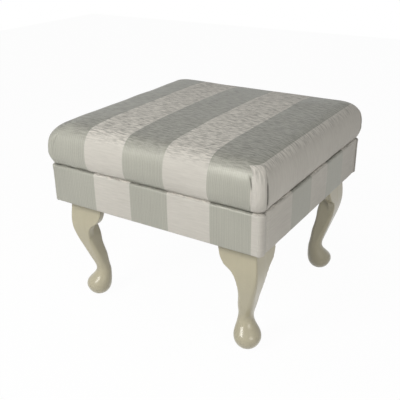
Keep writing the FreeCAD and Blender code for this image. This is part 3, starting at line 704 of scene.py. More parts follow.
def build_rail_wadding(name):
    """Strip of wadding on one rail: flat on the rail, and outside as full as the root of a sine arch over its
    height, with ripples. At the corners its back follows the rail's square edge."""
    wraps = name in ("front", "rear")
    columns = run_columns(name, steps=60)
    share = np.linspace(0.0, 1.0, 16)
    clear = BAND_LOW_ROUND + BAND_HIGH_ROUND
    height = RAIL_LOW + BAND_LOW_ROUND + (RAIL_HIGH - RAIL_LOW - clear) * share
    face, back = FABRIC + LAYER_GAP, FABRIC + LAYER_GAP + RAIL_WADDING
    puff = np.sqrt(np.clip(3.0 * np.sin(np.pi * share), 0.05, 1.0))
    outer = np.stack([back - (back - face) * puff, height], 1)
    inner = np.stack([np.full_like(height, back), height], 1)
    square = 1.0 / np.maximum(np.abs(np.cos(columns["angle"])), np.abs(np.sin(columns["angle"]))) - 1.0
    along = columns["slide"] * HALF_X
    lumps = 1 + ripple(along[None], height[:, None], 40 * MM, columns["quarter"] + 50)
    outside = band_points(columns, outer, -0.1 * MM * lumps * puff[:, None], wraps, WADDING_PLAY)
    inside = band_points(columns, inner, (BAND_CORNER - back) * square, wraps, WADDING_PLAY)
    stack = np.concatenate([outside, inside[::-1]])
    faces = strip_faces(*stack.shape[:2])
    return new_piece(name + "_band_wadding", stack.reshape(-1, 3), faces, wadding_finish())


def build_bottom_cloth():
    """Black cloth under the frame: a grid that sags in the middle as the power of two crossed cosine arches,
    drawn up to the rails at its edge, with a doubled hem, cosine puckers between its staples and a hole round
    each leg bolt. It lies flat under the legs."""
    x, y = np.meshgrid(np.linspace(-BOTTOM_X, BOTTOM_X, 150), np.linspace(-BOTTOM_Y, BOTTOM_Y, 146))
    arch = np.cos(np.pi * x / (2 * BOTTOM_X)) * np.cos(np.pi * y / (2 * BOTTOM_Y))
    leg_from, leg_to = 112 * MM, 122 * MM
    leg = smooth_step(np.abs(x), leg_from, leg_to) * smooth_step(np.abs(y), leg_from, leg_to)
    edge = np.minimum(BOTTOM_X - np.abs(x), BOTTOM_Y - np.abs(y))
    beside = np.where(BOTTOM_X - np.abs(x) < BOTTOM_Y - np.abs(y), y, x)
    pucker = 0.12 * MM * (1 - np.cos(2 * np.pi * beside / STAPLE_PITCH)) * bell(edge, 0.0, 14 * MM)
    hem = HEM_THICKNESS * (1 - smooth_step(edge, HEM_WIDTH, HEM_WIDTH + 1.5 * MM))
    waves = 0.25 * MM * ripple(x, y, 80 * MM, seed=61) * smooth_step(edge, 25 * MM, 60 * MM)
    middle = (CLOTH_LOW + CLOTH_HIGH) / 2
    z = middle - CLOTH_SAG * arch ** 1.5 - (pucker + hem + waves) * (1 - leg)
    points = np.stack([x, y, z], -1).reshape(-1, 3)
    faces = grid_faces(*x.shape, closed=False)
    centre = points[faces].mean(axis=1)
    bolt = (high_corner("leg_bolts") - low_corner("leg_bolts"))[:2] / 2 - BOLT_RADIUS
    away = np.hypot(*(np.abs(centre[:, :2]) - bolt).T)
    piece = new_piece("bottom_cloth", points, faces[away > BOLT_HOLE].tolist(), cloth_finish())
    wall = piece.modifiers.new("thickness", "SOLIDIFY")
    wall.thickness, wall.offset = CLOTH_HIGH - CLOTH_LOW, 0.0
    return piece


def build_staples():
    """Staples that hold the cloth: a flat wire carried along a U with rounded bends, one shape at every
    place, each turned a little by chance."""
    half, thickness, size_error, angle_error = 5.0 * MM, 0.25 * MM, 0.8 * MM, 0.05
    path = np.array([(-half, 3 * MM), (-half, 0.4 * MM), (-half * 0.97, 0.1 * MM), (-half * 0.9, 0.0),
                     (half * 0.9, 0.0), (half * 0.97, 0.1 * MM), (half, 0.4 * MM), (half, 3 * MM)])
    step = np.gradient(path, axis=0)
    normal = np.stack([-step[:, 1], step[:, 0]], 1) / np.linalg.norm(step, axis=1)[:, None]
    wire = np.array([(0.55, -0.12), (0.55, 0.12), (0.42, 0.25), (-0.42, 0.25), (-0.55, 0.12), (-0.55, -0.12),
                     (-0.42, -0.25), (0.42, -0.25)]) * MM
    ring = path[:, None] + normal[:, None] * wire[None, :, 1:]
    width = np.broadcast_to(wire[:, 0], ring.shape[:2])
    shape = np.stack([ring[..., 0], width, ring[..., 1]], -1).reshape(-1, 3)
    faces = grid_faces(len(path), len(wire))
    random = np.random.default_rng(7)
    spots = []
    for turns, away in enumerate((BOTTOM_Y, BOTTOM_X, BOTTOM_Y, BOTTOM_X)):
        for at in np.arange(-6.5, 7.0) * STAPLE_PITCH:
            place = at + random.normal(0, size_error)
            spots.append((turns * np.pi / 2, place, STAPLE_INSET - away, random.normal(0, angle_error)))
    spots = np.array(spots)
    turn, place, out, tilt = spots.T[:, :, None]
    along, across = turned(shape[None, :, 0], shape[None, :, 1], tilt)
    x, y = turned(along + place, across + out, turn)
    low = CLOTH_LOW - HEM_THICKNESS - thickness
    points = np.stack([x, y, np.broadcast_to(shape[None, :, 2] + low, x.shape)], -1)
    first = np.arange(len(wire))
    ends = np.stack([first[::-1], len(shape) - len(wire) + first])
    shift = np.arange(len(spots))[:, None, None] * len(shape)
    quads, caps = (faces[None] + shift).reshape(-1, 4), (ends[None] + shift).reshape(-1, len(wire))
    faces = quads.tolist() + caps.tolist()
    return new_piece("cloth_staples", points.reshape(-1, 3), faces, zinc_finish(), smooth=False)


# Cabriole legs


# Height, centre, half side and corner radius of sections up the post, in millimetres. Its corner points to
# +X +Y, and the foot's centre is at 0.
POST_SECTIONS = np.array((
    (0.0, 0.0, 7.0, 6.9), (1.2, 0.0, 9.5, 9.4), (4.0, 0.0, 14.6, 14.5), (8.5, 0.0, 19.2, 19.1),
    (14.0, 0.0, 22.6, 22.5), (19.0, 0.0, 24.4, 24.3), (25.0, -0.3, 25.1, 25.0), (31.0, -1.4, 24.2, 24.1),
    (38.0, -3.8, 21.2, 21.0), (46.0, -6.6, 17.4, 17.2), (55.0, -8.2, 14.6, 14.0), (64.0, -7.6, 13.6, 12.5),
    (73.5, -5.9, 13.8, 11.2), (83.0, -3.9, 14.7, 10.4), (92.0, -2.0, 15.4, 9.8), (101.0, 0.3, 15.7, 9.0),
    (110.0, 2.5, 16.1, 8.4), (119.0, 4.6, 16.7, 7.8), (128.0, 6.4, 17.6, 7.0), (137.0, 7.9, 18.3, 6.2),
    (155.0, 11.3, 18.5, 5.0), (168.4, 12.8, 17.9, 4.2), (180.0, 12.5, 17.8, 3.6), (200.0, 11.7, 16.8, 3.0),
    (218.4, 11.3, 16.2, 3.0)))


def smooth_curve(at, known, values):
    """Curve through known values, each with the slope of the parabola through its neighbours."""
    slope = np.gradient(values, known)
    index = np.clip(np.searchsorted(known, at, side="right") - 1, 0, len(known) - 2)
    gap = known[index + 1] - known[index]
    share = (at - known[index]) / gap
    left = 1 - share
    return (values[index] * (1 + 2 * share) * left ** 2 + values[index + 1] * share ** 2 * (3 - 2 * share)
            + gap * slope[index] * share * left ** 2 - gap * slope[index + 1] * share ** 2 * left)


def post_sizes(height):
    """Centre, half side and corner radius of the post at each height, in millimetres."""
    known, *sizes = POST_SECTIONS.T
    return [smooth_curve(height, known, values) for values in sizes]


def post_mesh():
    """Post of the leg: rounded square sections whose centre sweeps in at the ankle and out at the knee."""
    columns = ring_columns(side_steps=14, corner_steps=12)
    sole_edge, nearly_round = 6.0, 0.995
    rest = np.linspace(sole_edge, POST_SECTIONS[-1, 0], 150)
    heights = np.concatenate([np.linspace(0.0, sole_edge, 8)[:-1], rest])
    centre, half, radius = post_sizes(heights)
    stack = ring_points(columns, half, half, np.minimum(radius, half * nearly_round), heights)
    stack[..., 0] += centre[:, None]
    stack[..., 1] += centre[:, None]
    count = len(columns["bow"])
    middle, sole, top = capped_faces(len(stack), count, len(stack) * count)
    poles = [[0.0, 0.0, 0.0], [centre[-1], centre[-1], heights[-1]]]
    points = np.concatenate([stack.reshape(-1, 3), poles]) * MM
    return points, middle.tolist() + sole.tolist() + top.tolist()


# Wing's edge from its end to the post: distance from the leg's outer corner and height, in millimetres
WING_EDGE = np.array((
    (72.5, 218.4), (72.5, 212.0), (72.2, 206.0), (71.2, 199.0), (69.6, 193.0), (67.2, 187.0),
    (64.0, 181.2), (60.6, 177.2), (57.2, 174.2), (53.6, 171.8), (50.0, 169.4), (46.5, 166.4),
    (43.6, 162.8), (41.2, 158.4), (39.2, 152.8), (38.0, 147.5), (37.2, 141.9), (36.2, 135.0),
    (34.6, 128.4), (32.0, 120.0)))
FACE_PLACE = 27.5 * MM       # from the foot's centre to the leg's outer faces at the top
LEG_INWARD = np.array([2.0, 5.0]) * MM    # along X and Y, how much further in the legs stand than the CAD's
WING_THICKNESS = 13.0 * MM


def wing_mesh(twin):
    """Wing beside the post: a slab between the leg's face and a plane behind it, cut to the wing's edge.

    Rows go down the edge. Each row is a rectangle from inside the post to the edge, in the face's plane,
    which swells with the knee.
    """
    height = np.linspace(WING_EDGE[0, 1], WING_EDGE[-1, 1], 60)
    reach = smooth_curve(height[::-1], WING_EDGE[::-1, 1], WING_EDGE[::-1, 0])[::-1] * MM
    centre, half, _ = post_sizes(height)
    flush = (centre + half) * MM - 0.4 * MM
    end = FACE_PLACE - reach
    inside, back = np.full_like(end, 8.0 * MM), np.full_like(end, FACE_PLACE - WING_THICKNESS)
    rows = np.stack([inside, flush, end, flush, end, back, inside, back], 1).reshape(-1, 4, 2)
    points = np.concatenate([rows, np.repeat(height[:, None, None] * MM, 4, 1)], 2).reshape(-1, 3)
    first = np.arange(4)
    faces = np.concatenate([grid_faces(len(height), 4), [first[::-1], len(points) - 4 + first]])
    if twin:
        points, faces = points[:, [1, 0, 2]], faces[:, ::-1]
    return points, faces[:, ::-1].tolist()


def relaxed(points, edges, passes):
    """Points moved towards the mean of their neighbours and then back, which softens edges and keeps bulk."""
    inwards, outwards = 0.5, -0.52
    count = np.bincount(edges.ravel(), minlength=len(points))[:, None]
    for step in range(2 * passes):
        total = np.zeros_like(points)
        for axis in range(3):
            total[:, axis] = (np.bincount(edges[:, 0], points[edges[:, 1], axis], len(points))
                              + np.bincount(edges[:, 1], points[edges[:, 0], axis], len(points)))
        pull = inwards if step % 2 == 0 else outwards
        points = points + pull * (total / count - points)
    return points


def leg_skin(legs):
    """One skin round post and wings: the joined solids, remeshed on a grid, softened and stretched back to
    the leg's height."""
    points, faces = [], []
    for part_points, part_faces in (post_mesh(), wing_mesh(False), wing_mesh(True)):
        shift = sum(len(part) for part in points)
        points.append(part_points)
        faces += [[corner + shift for corner in face] for face in part_faces]
    mesh = bpy.data.meshes.new("leg_blank")
    mesh.from_pydata(np.concatenate(points).tolist(), [], faces)
    blank = bpy.data.objects.new("leg_blank", mesh)
    bpy.context.scene.collection.objects.link(blank)
    join = blank.modifiers.new("join", "REMESH")
    join.mode = "VOXEL"
    join.voxel_size = legs.voxel
    skin = bpy.data.meshes.new_from_object(blank.evaluated_get(bpy.context.evaluated_depsgraph_get()))
    coordinates = np.zeros(len(skin.vertices) * 3)
    skin.vertices.foreach_get("co", coordinates)
    edges = np.zeros(len(skin.edges) * 2, int)
    skin.edges.foreach_get("vertices", edges)
    coordinates = relaxed(coordinates.reshape(-1, 3), edges.reshape(-1, 2), legs.softening)
    low, high = coordinates[:, 2].min(), coordinates[:, 2].max()
    coordinates[:, 2] = (coordinates[:, 2] - low) * (LEG_HIGH / (high - low))
    faces = [list(face.vertices) for face in skin.polygons]
    bpy.data.objects.remove(blank)
    return coordinates, faces


def build_legs(legs):
    """Four legs from one skin, turned in quarter turns so that each corner points out of the stool."""
    points, faces = leg_skin(legs)
    for turns, name in enumerate(("rear_right_leg", "rear_left_leg", "front_left_leg", "front_right_leg")):
        flat = np.stack(turned(points[:, 0], points[:, 1], turns * np.pi / 2), 1)
        positive = np.array([turns in (0, 3), turns in (0, 1)])
        at_high = high_corner(name)[:2] - flat.max(axis=0) - LEG_INWARD
        at_low = low_corner(name)[:2] - flat.min(axis=0) + LEG_INWARD
        placed = np.column_stack([flat + np.where(positive, at_high, at_low), points[:, 2]])
        piece = new_piece(name + "_painted", placed, faces, finish_paint(legs))
        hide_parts(name)
        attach(piece, "root")


# Materials


def add_node(tree, kind, inputs=None, **settings):
    """Node with its settings, and its inputs set to values or linked to sockets."""
    made = tree.nodes.new(kind)
    for key, value in settings.items():
        setattr(made, key, value)
    for key, value in (inputs or {}).items():
        if isinstance(value, bpy.types.NodeSocket):
            tree.links.new(value, made.inputs[key])
        else:
            made.inputs[key].default_value = value
    return made


def math_node(tree, operation, first, second=0.0, third=0.0):
    return add_node(tree, "ShaderNodeMath", {0: first, 1: second, 2: third}, operation=operation).outputs[0]


def map_range(tree, value, low, high, to_low=0.0, to_high=1.0):
    made = add_node(tree, "ShaderNodeMapRange", {"Value": value, "From Min": low, "From Max": high,
                                                 "To Min": to_low, "To Max": to_high})
    return made.outputs["Result"]


def mix_colour(tree, share, first, second, blend="MIX"):
    made = add_node(tree, "ShaderNodeMix", {0: share, 6: first, 7: second}, data_type="RGBA",
                    blend_type=blend)
    return made.outputs[2]


def mix_value(tree, share, first, second):
    return add_node(tree, "ShaderNodeMix", {0: share, 2: first, 3: second}, data_type="FLOAT").outputs[0]


def add_bump(tree, shader, height, distance, strength):
    """Relief from a height of 0 to 1 on the shader's normal."""
    bump = add_node(tree, "ShaderNodeBump", {"Height": height, "Distance": distance, "Strength": strength})
    tree.links.new(bump.outputs[0], shader.inputs["Normal"])


def noise(tree, vector, scale, detail=3.0, roughness=0.5, distortion=0.0):
    made = add_node(tree, "ShaderNodeTexNoise", {"Vector": vector, "Scale": scale, "Detail": detail,
                                                 "Roughness": roughness, "Distortion": distortion})
    return made.outputs["Fac"]


def stretched(tree, vector, scale):
    return add_node(tree, "ShaderNodeMapping", {"Vector": vector, "Scale": scale}).outputs["Vector"]


def new_material(name, build):
    """Material with this name, built once: build gets its tree and its Principled shader."""
    made = bpy.data.materials.get(name)
    if made is None:
        made = bpy.data.materials.new(name)
        made.use_nodes = True
        build(made.node_tree, made.node_tree.nodes["Principled BSDF"])
    return made


def new_group(name, inputs, outputs, build):
    """Shader node group with this name, built once, with named inputs and outputs."""
    group = bpy.data.node_groups.get(name)
    if group is None:
        group = bpy.data.node_groups.new(name, "ShaderNodeTree")
        for label, kind, default in inputs:
            group.interface.new_socket(label, in_out="INPUT", socket_type=kind).default_value = default
        for label, kind in outputs:
            group.interface.new_socket(label, in_out="OUTPUT", socket_type=kind)
        start = group.nodes.new("NodeGroupInput")
        end = group.nodes.new("NodeGroupOutput")
        for label, socket in build(group, start.outputs).items():
            group.links.new(socket, end.inputs[label])
    return group


def place_group(tree, group, inputs):
    return add_node(tree, "ShaderNodeGroup", inputs, node_tree=group).outputs


def grey(tree, value):
    """Grey of one value, to multiply a colour by."""
    return add_node(tree, "ShaderNodeCombineXYZ", {0: value, 1: value, 2: value}).outputs[0]


def build_stripes(tree, given):
    """Mask that is 1 on the sage stripes, which run from each even number of stripe widths to the next."""
    split = add_node(tree, "ShaderNodeSeparateXYZ", {0: given["Cloth"]}).outputs
    count = math_node(tree, "DIVIDE", split[0], given["Width"])
    half, soft = 0.5, 0.006
    turn = math_node(tree, "FRACT", math_node(tree, "MULTIPLY", count, half))
    rising = map_range(tree, turn, 0.0, soft)
    falling = map_range(tree, turn, half, half + soft, 1.0, 0.0)
    return {"Sage": math_node(tree, "MULTIPLY", rising, falling)}


def build_weave(tree, given):
    """Threads of both stripes as shade and height. The satin's fine ribs run along the stripe, a sine across
    it that wanders a little, and the weft dots them. The pale stripe has slubs, short thick threads across
    it, over a finer weave. Streaks across both, as long as a finger is thick, are the yarn's own light and
    dark."""
    cloth = given["Cloth"]
    split = add_node(tree, "ShaderNodeSeparateXYZ", {0: cloth}).outputs
    wander = noise(tree, stretched(tree, cloth, (260.0, 9.0, 1.0)), 1.0, 2.0)
    turn = math_node(tree, "DIVIDE", split[0], given["Rib"])
    turn = math_node(tree, "MULTIPLY_ADD", wander, 1.1, turn)
    rib = math_node(tree, "SINE", math_node(tree, "MULTIPLY", turn, 2.0 * math.pi))
    rib = map_range(tree, rib, -0.8, 0.8)
    dots = noise(tree, stretched(tree, cloth, (420.0, 300.0, 1.0)), 1.0, 3.0, 0.6)
    satin = math_node(tree, "MULTIPLY_ADD", rib, 0.4, math_node(tree, "MULTIPLY", dots, 0.6))
    long_slub = noise(tree, stretched(tree, cloth, (34.0, 330.0, 1.0)), 1.0, 3.0, 0.62)
    fine_slub = noise(tree, stretched(tree, cloth, (120.0, 900.0, 1.0)), 1.0, 2.0, 0.5)
    slub = map_range(tree, math_node(tree, "MULTIPLY_ADD", fine_slub, 0.35, long_slub), 0.42, 0.92)
    streak = noise(tree, stretched(tree, cloth, (55.0, 330.0, 1.0)), 1.0, 4.0, 0.7, 0.3)
    return {"Satin": satin, "Slub": slub, "Streak": map_range(tree, streak, 0.38, 0.58)}


def tones(colour, low, high):
    """Two shades of a colour, darker and lighter, as node values."""
    return [[min(channel * share, 1.0) for channel in colour] + [1.0] for share in (low, high)]


def finish_cloth(cloth):
    """Striped furnishing cloth: sage satin with fine ribs beside a pale stripe with slubs across it. Where it
    lies level it is painted darker, as painted shade of the top, and its streaks show stronger there. In a
    crease it has painted shade."""
    def build(tree, shader):
        line = add_node(tree, "ShaderNodeUVMap", uv_map="cloth").outputs[0]
        place = ("Cloth", "NodeSocketVector", (0, 0, 0))
        stripes = new_group("stripes", [place, ("Width", "NodeSocketFloat", 0.085)],
                            [("Sage", "NodeSocketFloat")], build_stripes)
        shades = [(name, "NodeSocketFloat") for name in ("Satin", "Slub", "Streak")]
        weave = new_group("weave", [place, ("Rib", "NodeSocketFloat", 0.0034)], shades, build_weave)
        sage = place_group(tree, stripes, {"Cloth": line, "Width": cloth.stripe})["Sage"]
        threads = place_group(tree, weave, {"Cloth": line, "Rib": cloth.rib})
        satin = mix_colour(tree, threads["Satin"], *tones(cloth.sage, 0.84, 1.14))
        pale = mix_colour(tree, threads["Slub"], *tones(cloth.silver, 0.93, 1.06))
        where = add_node(tree, "ShaderNodeTexCoord").outputs
        # Painted shade: the more the cloth faces up, the darker its tones, standing in for the top's weaker
        # light; the streaks are stronger there too
        upward = add_node(tree, "ShaderNodeSeparateXYZ", {0: where["Normal"]}).outputs[2]
        top_shade_share = map_range(tree, upward, 0.35, 0.99)
        shaded_top_satin = mix_colour(tree, threads["Streak"], *tones(cloth.sage, 0.42, 0.80))
        shaded_top_pale = mix_colour(tree, threads["Streak"], *tones(cloth.silver, 0.50, 1.22))
        satin = mix_colour(tree, top_shade_share, satin, shaded_top_satin)
        pale = mix_colour(tree, top_shade_share, pale, shaded_top_pale)
        patch = map_range(tree, noise(tree, where["Object"], 9.0, 2.0), 0.3, 0.7, 0.97, 1.03)
        # Painted shade: the patchy tone is darkened down to 0.35 of itself deep in the pleats' slits and
        # beside the band's seams
        crease_shade = add_node(tree, "ShaderNodeAttribute", attribute_name="crease_shade").outputs["Fac"]
        patch = math_node(tree, "MULTIPLY", patch, map_range(tree, crease_shade, 0.1, 1.0, 1.0, 0.35))
        colour = mix_colour(tree, sage, pale, satin)
        colour = mix_colour(tree, 1.0, colour, grey(tree, patch), "MULTIPLY")
        tree.links.new(colour, shader.inputs["Base Color"])
        satin_gloss = map_range(tree, threads["Satin"], 0.0, 1.0, 0.46, 0.36)
        pale_gloss = map_range(tree, threads["Slub"], 0.0, 1.0, 0.72, 0.55)
        tree.links.new(mix_value(tree, sage, pale_gloss, satin_gloss), shader.inputs["Roughness"])
        satin_height = math_node(tree, "MULTIPLY", threads["Satin"], 0.45)
        height = mix_value(tree, sage, threads["Slub"], satin_height)
        height = math_node(tree, "MULTIPLY_ADD", threads["Streak"], 0.35, height)
        add_bump(tree, shader, height, 0.2 * MM, 0.5)
        tree.links.new(math_node(tree, "MULTIPLY", sage, 0.10), shader.inputs["Metallic"])
        shader.inputs["Specular IOR Level"].default_value = 0.28
    return new_material("striped_cloth", build)


def build_grain(tree, given):
    """Long soft streaks along one axis, as wood grain or brush marks, 0 to 1."""
    place = add_node(tree, "ShaderNodeVectorMath", {0: given["Place"], 1: given["Stretch"]},
                     operation="MULTIPLY").outputs[0]
    value = noise(tree, place, 1.0, 4.0, 0.6, 0.4)
    return {"Grain": map_range(tree, value, 0.3, 0.7)}


def grain_group():
    inputs = [("Place", "NodeSocketVector", (0, 0, 0)), ("Stretch", "NodeSocketVector", (100, 100, 10))]
    return new_group("grain", inputs, [("Grain", "NodeSocketFloat")], build_grain)


def finish_paint(legs):
    """Satin cream paint on wood: faint brush marks along the leg, slightly thinner paint in places, and a
    painted shadow of the band's overhang just under the band."""
    def build(tree, shader):
        place = add_node(tree, "ShaderNodeTexCoord").outputs["Object"]
        grain = place_group(tree, grain_group(), {"Place": place, "Stretch": (320.0, 320.0, 22.0)})["Grain"]
        patch = noise(tree, place, 22.0, 2.0)
        colour = mix_colour(tree, patch, *tones(legs.paint, 0.94, 1.05))
        height = add_node(tree, "ShaderNodeSeparateXYZ", {0: place}).outputs[2]
        brush_and_band_shadow = map_range(tree, grain, 0.0, 1.0, 0.985, 1.015)
        # Painted shadow of the band's overhang: the paint is darkened down to 0.66 over the top 18 mm of the
        # leg
        brush_and_band_shadow = math_node(tree, "MULTIPLY", brush_and_band_shadow, map_range(tree, height, 198 * MM, 216 * MM, 1.0, 0.66))
        colour = mix_colour(tree, 1.0, colour, grey(tree, brush_and_band_shadow), "MULTIPLY")
        tree.links.new(colour, shader.inputs["Base Color"])
        tree.links.new(map_range(tree, grain, 0.0, 1.0, 0.36, 0.28), shader.inputs["Roughness"])
        add_bump(tree, shader, grain, 0.1 * MM, 0.15)
        shader.inputs["Specular IOR Level"].default_value = 0.35
        shader.inputs["Coat Weight"].default_value = 0.35
        shader.inputs["Coat Roughness"].default_value = 0.12
    return new_material("cream_paint", build)


def finish_timber(name, colour, stretch):
    """Sawn timber: grain along its length in two tones, with a soft bump."""
    def build(tree, shader):
        place = add_node(tree, "ShaderNodeTexCoord").outputs["Object"]
        grain = place_group(tree, grain_group(), {"Place": place, "Stretch": stretch})["Grain"]
        tree.links.new(mix_colour(tree, grain, *tones(colour, 0.62, 1.0)), shader.inputs["Base Color"])
        tree.links.new(map_range(tree, grain, 0.0, 1.0, 0.72, 0.55), shader.inputs["Roughness"])
        add_bump(tree, shader, grain, 0.3 * MM, 0.5)
    return new_material(name, build)


def finish_soft(name, colour, scale, depth):
    """Foam, wadding or felted cloth: fine irregular fibres or cells in shade and height."""
    def build(tree, shader):
        place = add_node(tree, "ShaderNodeTexCoord").outputs["Object"]
        fibre = noise(tree, place, scale, 4.0, 0.65)
        tree.links.new(mix_colour(tree, fibre, *tones(colour, 0.8, 1.15)), shader.inputs["Base Color"])
        tree.links.new(map_range(tree, fibre, 0.3, 0.7, 0.95, 0.8), shader.inputs["Roughness"])
        add_bump(tree, shader, fibre, depth, 0.6)
    return new_material(name, build)


def finish_metal(name, colour, rough):
    """Plated steel: fine turned scratches and cloudy plating."""
    def build(tree, shader):
        place = add_node(tree, "ShaderNodeTexCoord").outputs["Object"]
        cloud = noise(tree, place, 180.0, 3.0)
        scratch = noise(tree, stretched(tree, place, (300.0, 300.0, 4000.0)), 1.0, 2.0)
        tree.links.new(mix_colour(tree, cloud, *tones(colour, 0.85, 1.0)), shader.inputs["Base Color"])
        gloss = map_range(tree, scratch, 0.3, 0.7, rough - 0.08, rough + 0.1)
        tree.links.new(gloss, shader.inputs["Roughness"])
        add_bump(tree, shader, scratch, 0.03 * MM, 0.4)
        shader.inputs["Metallic"].default_value = 1.0
    return new_material(name, build)


def foam_finish():
    return finish_soft("foam", (0.80, 0.73, 0.52), 900.0, 0.6 * MM)


def wadding_finish():
    return finish_soft("wadding", (0.82, 0.82, 0.80), 420.0, 0.8 * MM)


def cloth_finish():
    return finish_soft("dust_cloth", (0.03, 0.03, 0.032), 1500.0, 0.3 * MM)


def zinc_finish():
    return finish_metal("zinc", (0.72, 0.73, 0.74), 0.3)


# Operators


class FOOTSTOOL_OT_seat_cover(bpy.types.Operator):
    """Striped cover of the seat pad, with its crown, drawn-in sides and corner pleats"""
    bl_idname = "footstool.seat_cover"
    bl_label = "Seat cover"

    def execute(self, context):
        piece = build_seat_cover(context.scene.footstool_cloth)
        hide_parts("top_cover")
        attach(piece, "root")
        return {"FINISHED"}


class FOOTSTOOL_OT_band_covers(bpy.types.Operator):
    """Striped covers of the four rails, seamed beside the corners"""
    bl_idname = "footstool.band_covers"
    bl_label = "Band covers"

    def execute(self, context):
        for name in ("front", "rear", "left", "right"):
            piece = build_rail_cover(name, context.scene.footstool_cloth)
            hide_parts(name + "_rail_cover")
            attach(piece, "root")
        return {"FINISHED"}


class FOOTSTOOL_OT_padding(bpy.types.Operator):
    """Foam, wadding round it, and wadding strips on the rails"""
    bl_idname = "footstool.padding"
    bl_label = "Padding"

    def execute(self, context):
        made = {"seat_foam": (build_seat_foam(), "foam", 0.95),
                "top_wadding": (build_seat_wadding(context.scene.footstool_cloth), "wadding", 0.8)}
        for name in ("front", "rear", "left", "right"):
            made[name + "_rail_wadding"] = (build_rail_wadding(name), "wadding", 0.8)
        for node, (piece, slot, fill) in made.items():
            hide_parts(node)
            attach(piece, "root")
        return {"FINISHED"}


class FOOTSTOOL_OT_bottom_cloth(bpy.types.Operator):
    """Black cloth under the frame and the staples that hold it"""
    bl_idname = "footstool.bottom_cloth"
    bl_label = "Bottom cloth"

    def execute(self, context):
        piece, staples = build_bottom_cloth(), build_staples()
        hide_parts("dust_cover")
        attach(piece, "root")
        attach(staples, "root")
        return {"FINISHED"}


class FOOTSTOOL_OT_legs(bpy.types.Operator):
    """Four painted cabriole legs with wings"""
    bl_idname = "footstool.legs"
    bl_label = "Legs"

    def execute(self, context):
        build_legs(context.scene.footstool_legs)
        return {"FINISHED"}


class FOOTSTOOL_OT_setting(bpy.types.Operator):
    """Floor, lamps, world light and camera"""
    bl_idname = "footstool.setting"
    bl_label = "Setting"

    def execute(self, context):
        build_setting(context.scene.footstool_setting)
        return {"FINISHED"}


class FOOTSTOOL_OT_frame_finishes(bpy.types.Operator):
    """Timber, board and fastener finishes on the parts carried over from the frame"""
    bl_idname = "footstool.frame_finishes"
    bl_label = "Frame finishes"

    def execute(self, context):
        finish_frame()
        return {"FINISHED"}


def seen_directly(tree):
    """1 for what the camera sees straight, or in gloss or through glass."""
    path = add_node(tree, "ShaderNodeLightPath").outputs
    glossy = math_node(tree, "MAXIMUM", path["Is Camera Ray"], path["Is Glossy Ray"])
    return math_node(tree, "MAXIMUM", glossy, path["Is Transmission Ray"])


def area_lamp(name, toward, distance, size, power, tint):
    """Square lamp that faces the middle of the stool from a direction."""
    lamp = bpy.data.lights.new(name, "AREA")
    lamp.size, lamp.energy, lamp.color = size, power, tint
    thing = bpy.data.objects.new(name, lamp)
    direction = np.array(toward, float) / np.linalg.norm(toward)
    thing.matrix_world = facing(direction, LAMP_AIM + direction * distance)
    bpy.context.scene.collection.objects.link(thing)


def facing(back, place):
    """Matrix of a lamp or camera whose back points along a direction."""
    side = np.cross([0.0, 0.0, 1.0], back)
    side /= np.linalg.norm(side)
    matrix = np.eye(4)
    matrix[:3, 0], matrix[:3, 1], matrix[:3, 2], matrix[:3, 3] = side, np.cross(back, side), back, place
    return Matrix(matrix.tolist())


# Name, direction, distance, size, power in watts and tint of each lamp
LAMPS = (("front_lamp", (-0.25, -0.90, 0.60), 1.7, 0.6, 16.5, (1.0, 0.985, 0.955)),
         ("top_lamp", (-0.49, -0.18, 0.85), 1.8, 0.7, 4.4, (1.0, 0.98, 0.94)),
         ("side_lamp", (0.86, -0.45, 0.42), 1.9, 0.8, 9.5, (1.0, 0.97, 0.92)))
LAMP_AIM = np.array([0.0, 0.0, 0.22])
CAMERA_AZIMUTH = math.radians(32.78)
CAMERA_ELEVATION = math.radians(24.54)
CAMERA_ROLL = math.radians(-0.86)
CAMERA_SHIFT = -0.0021
FLOOR_SIDE = 6.0


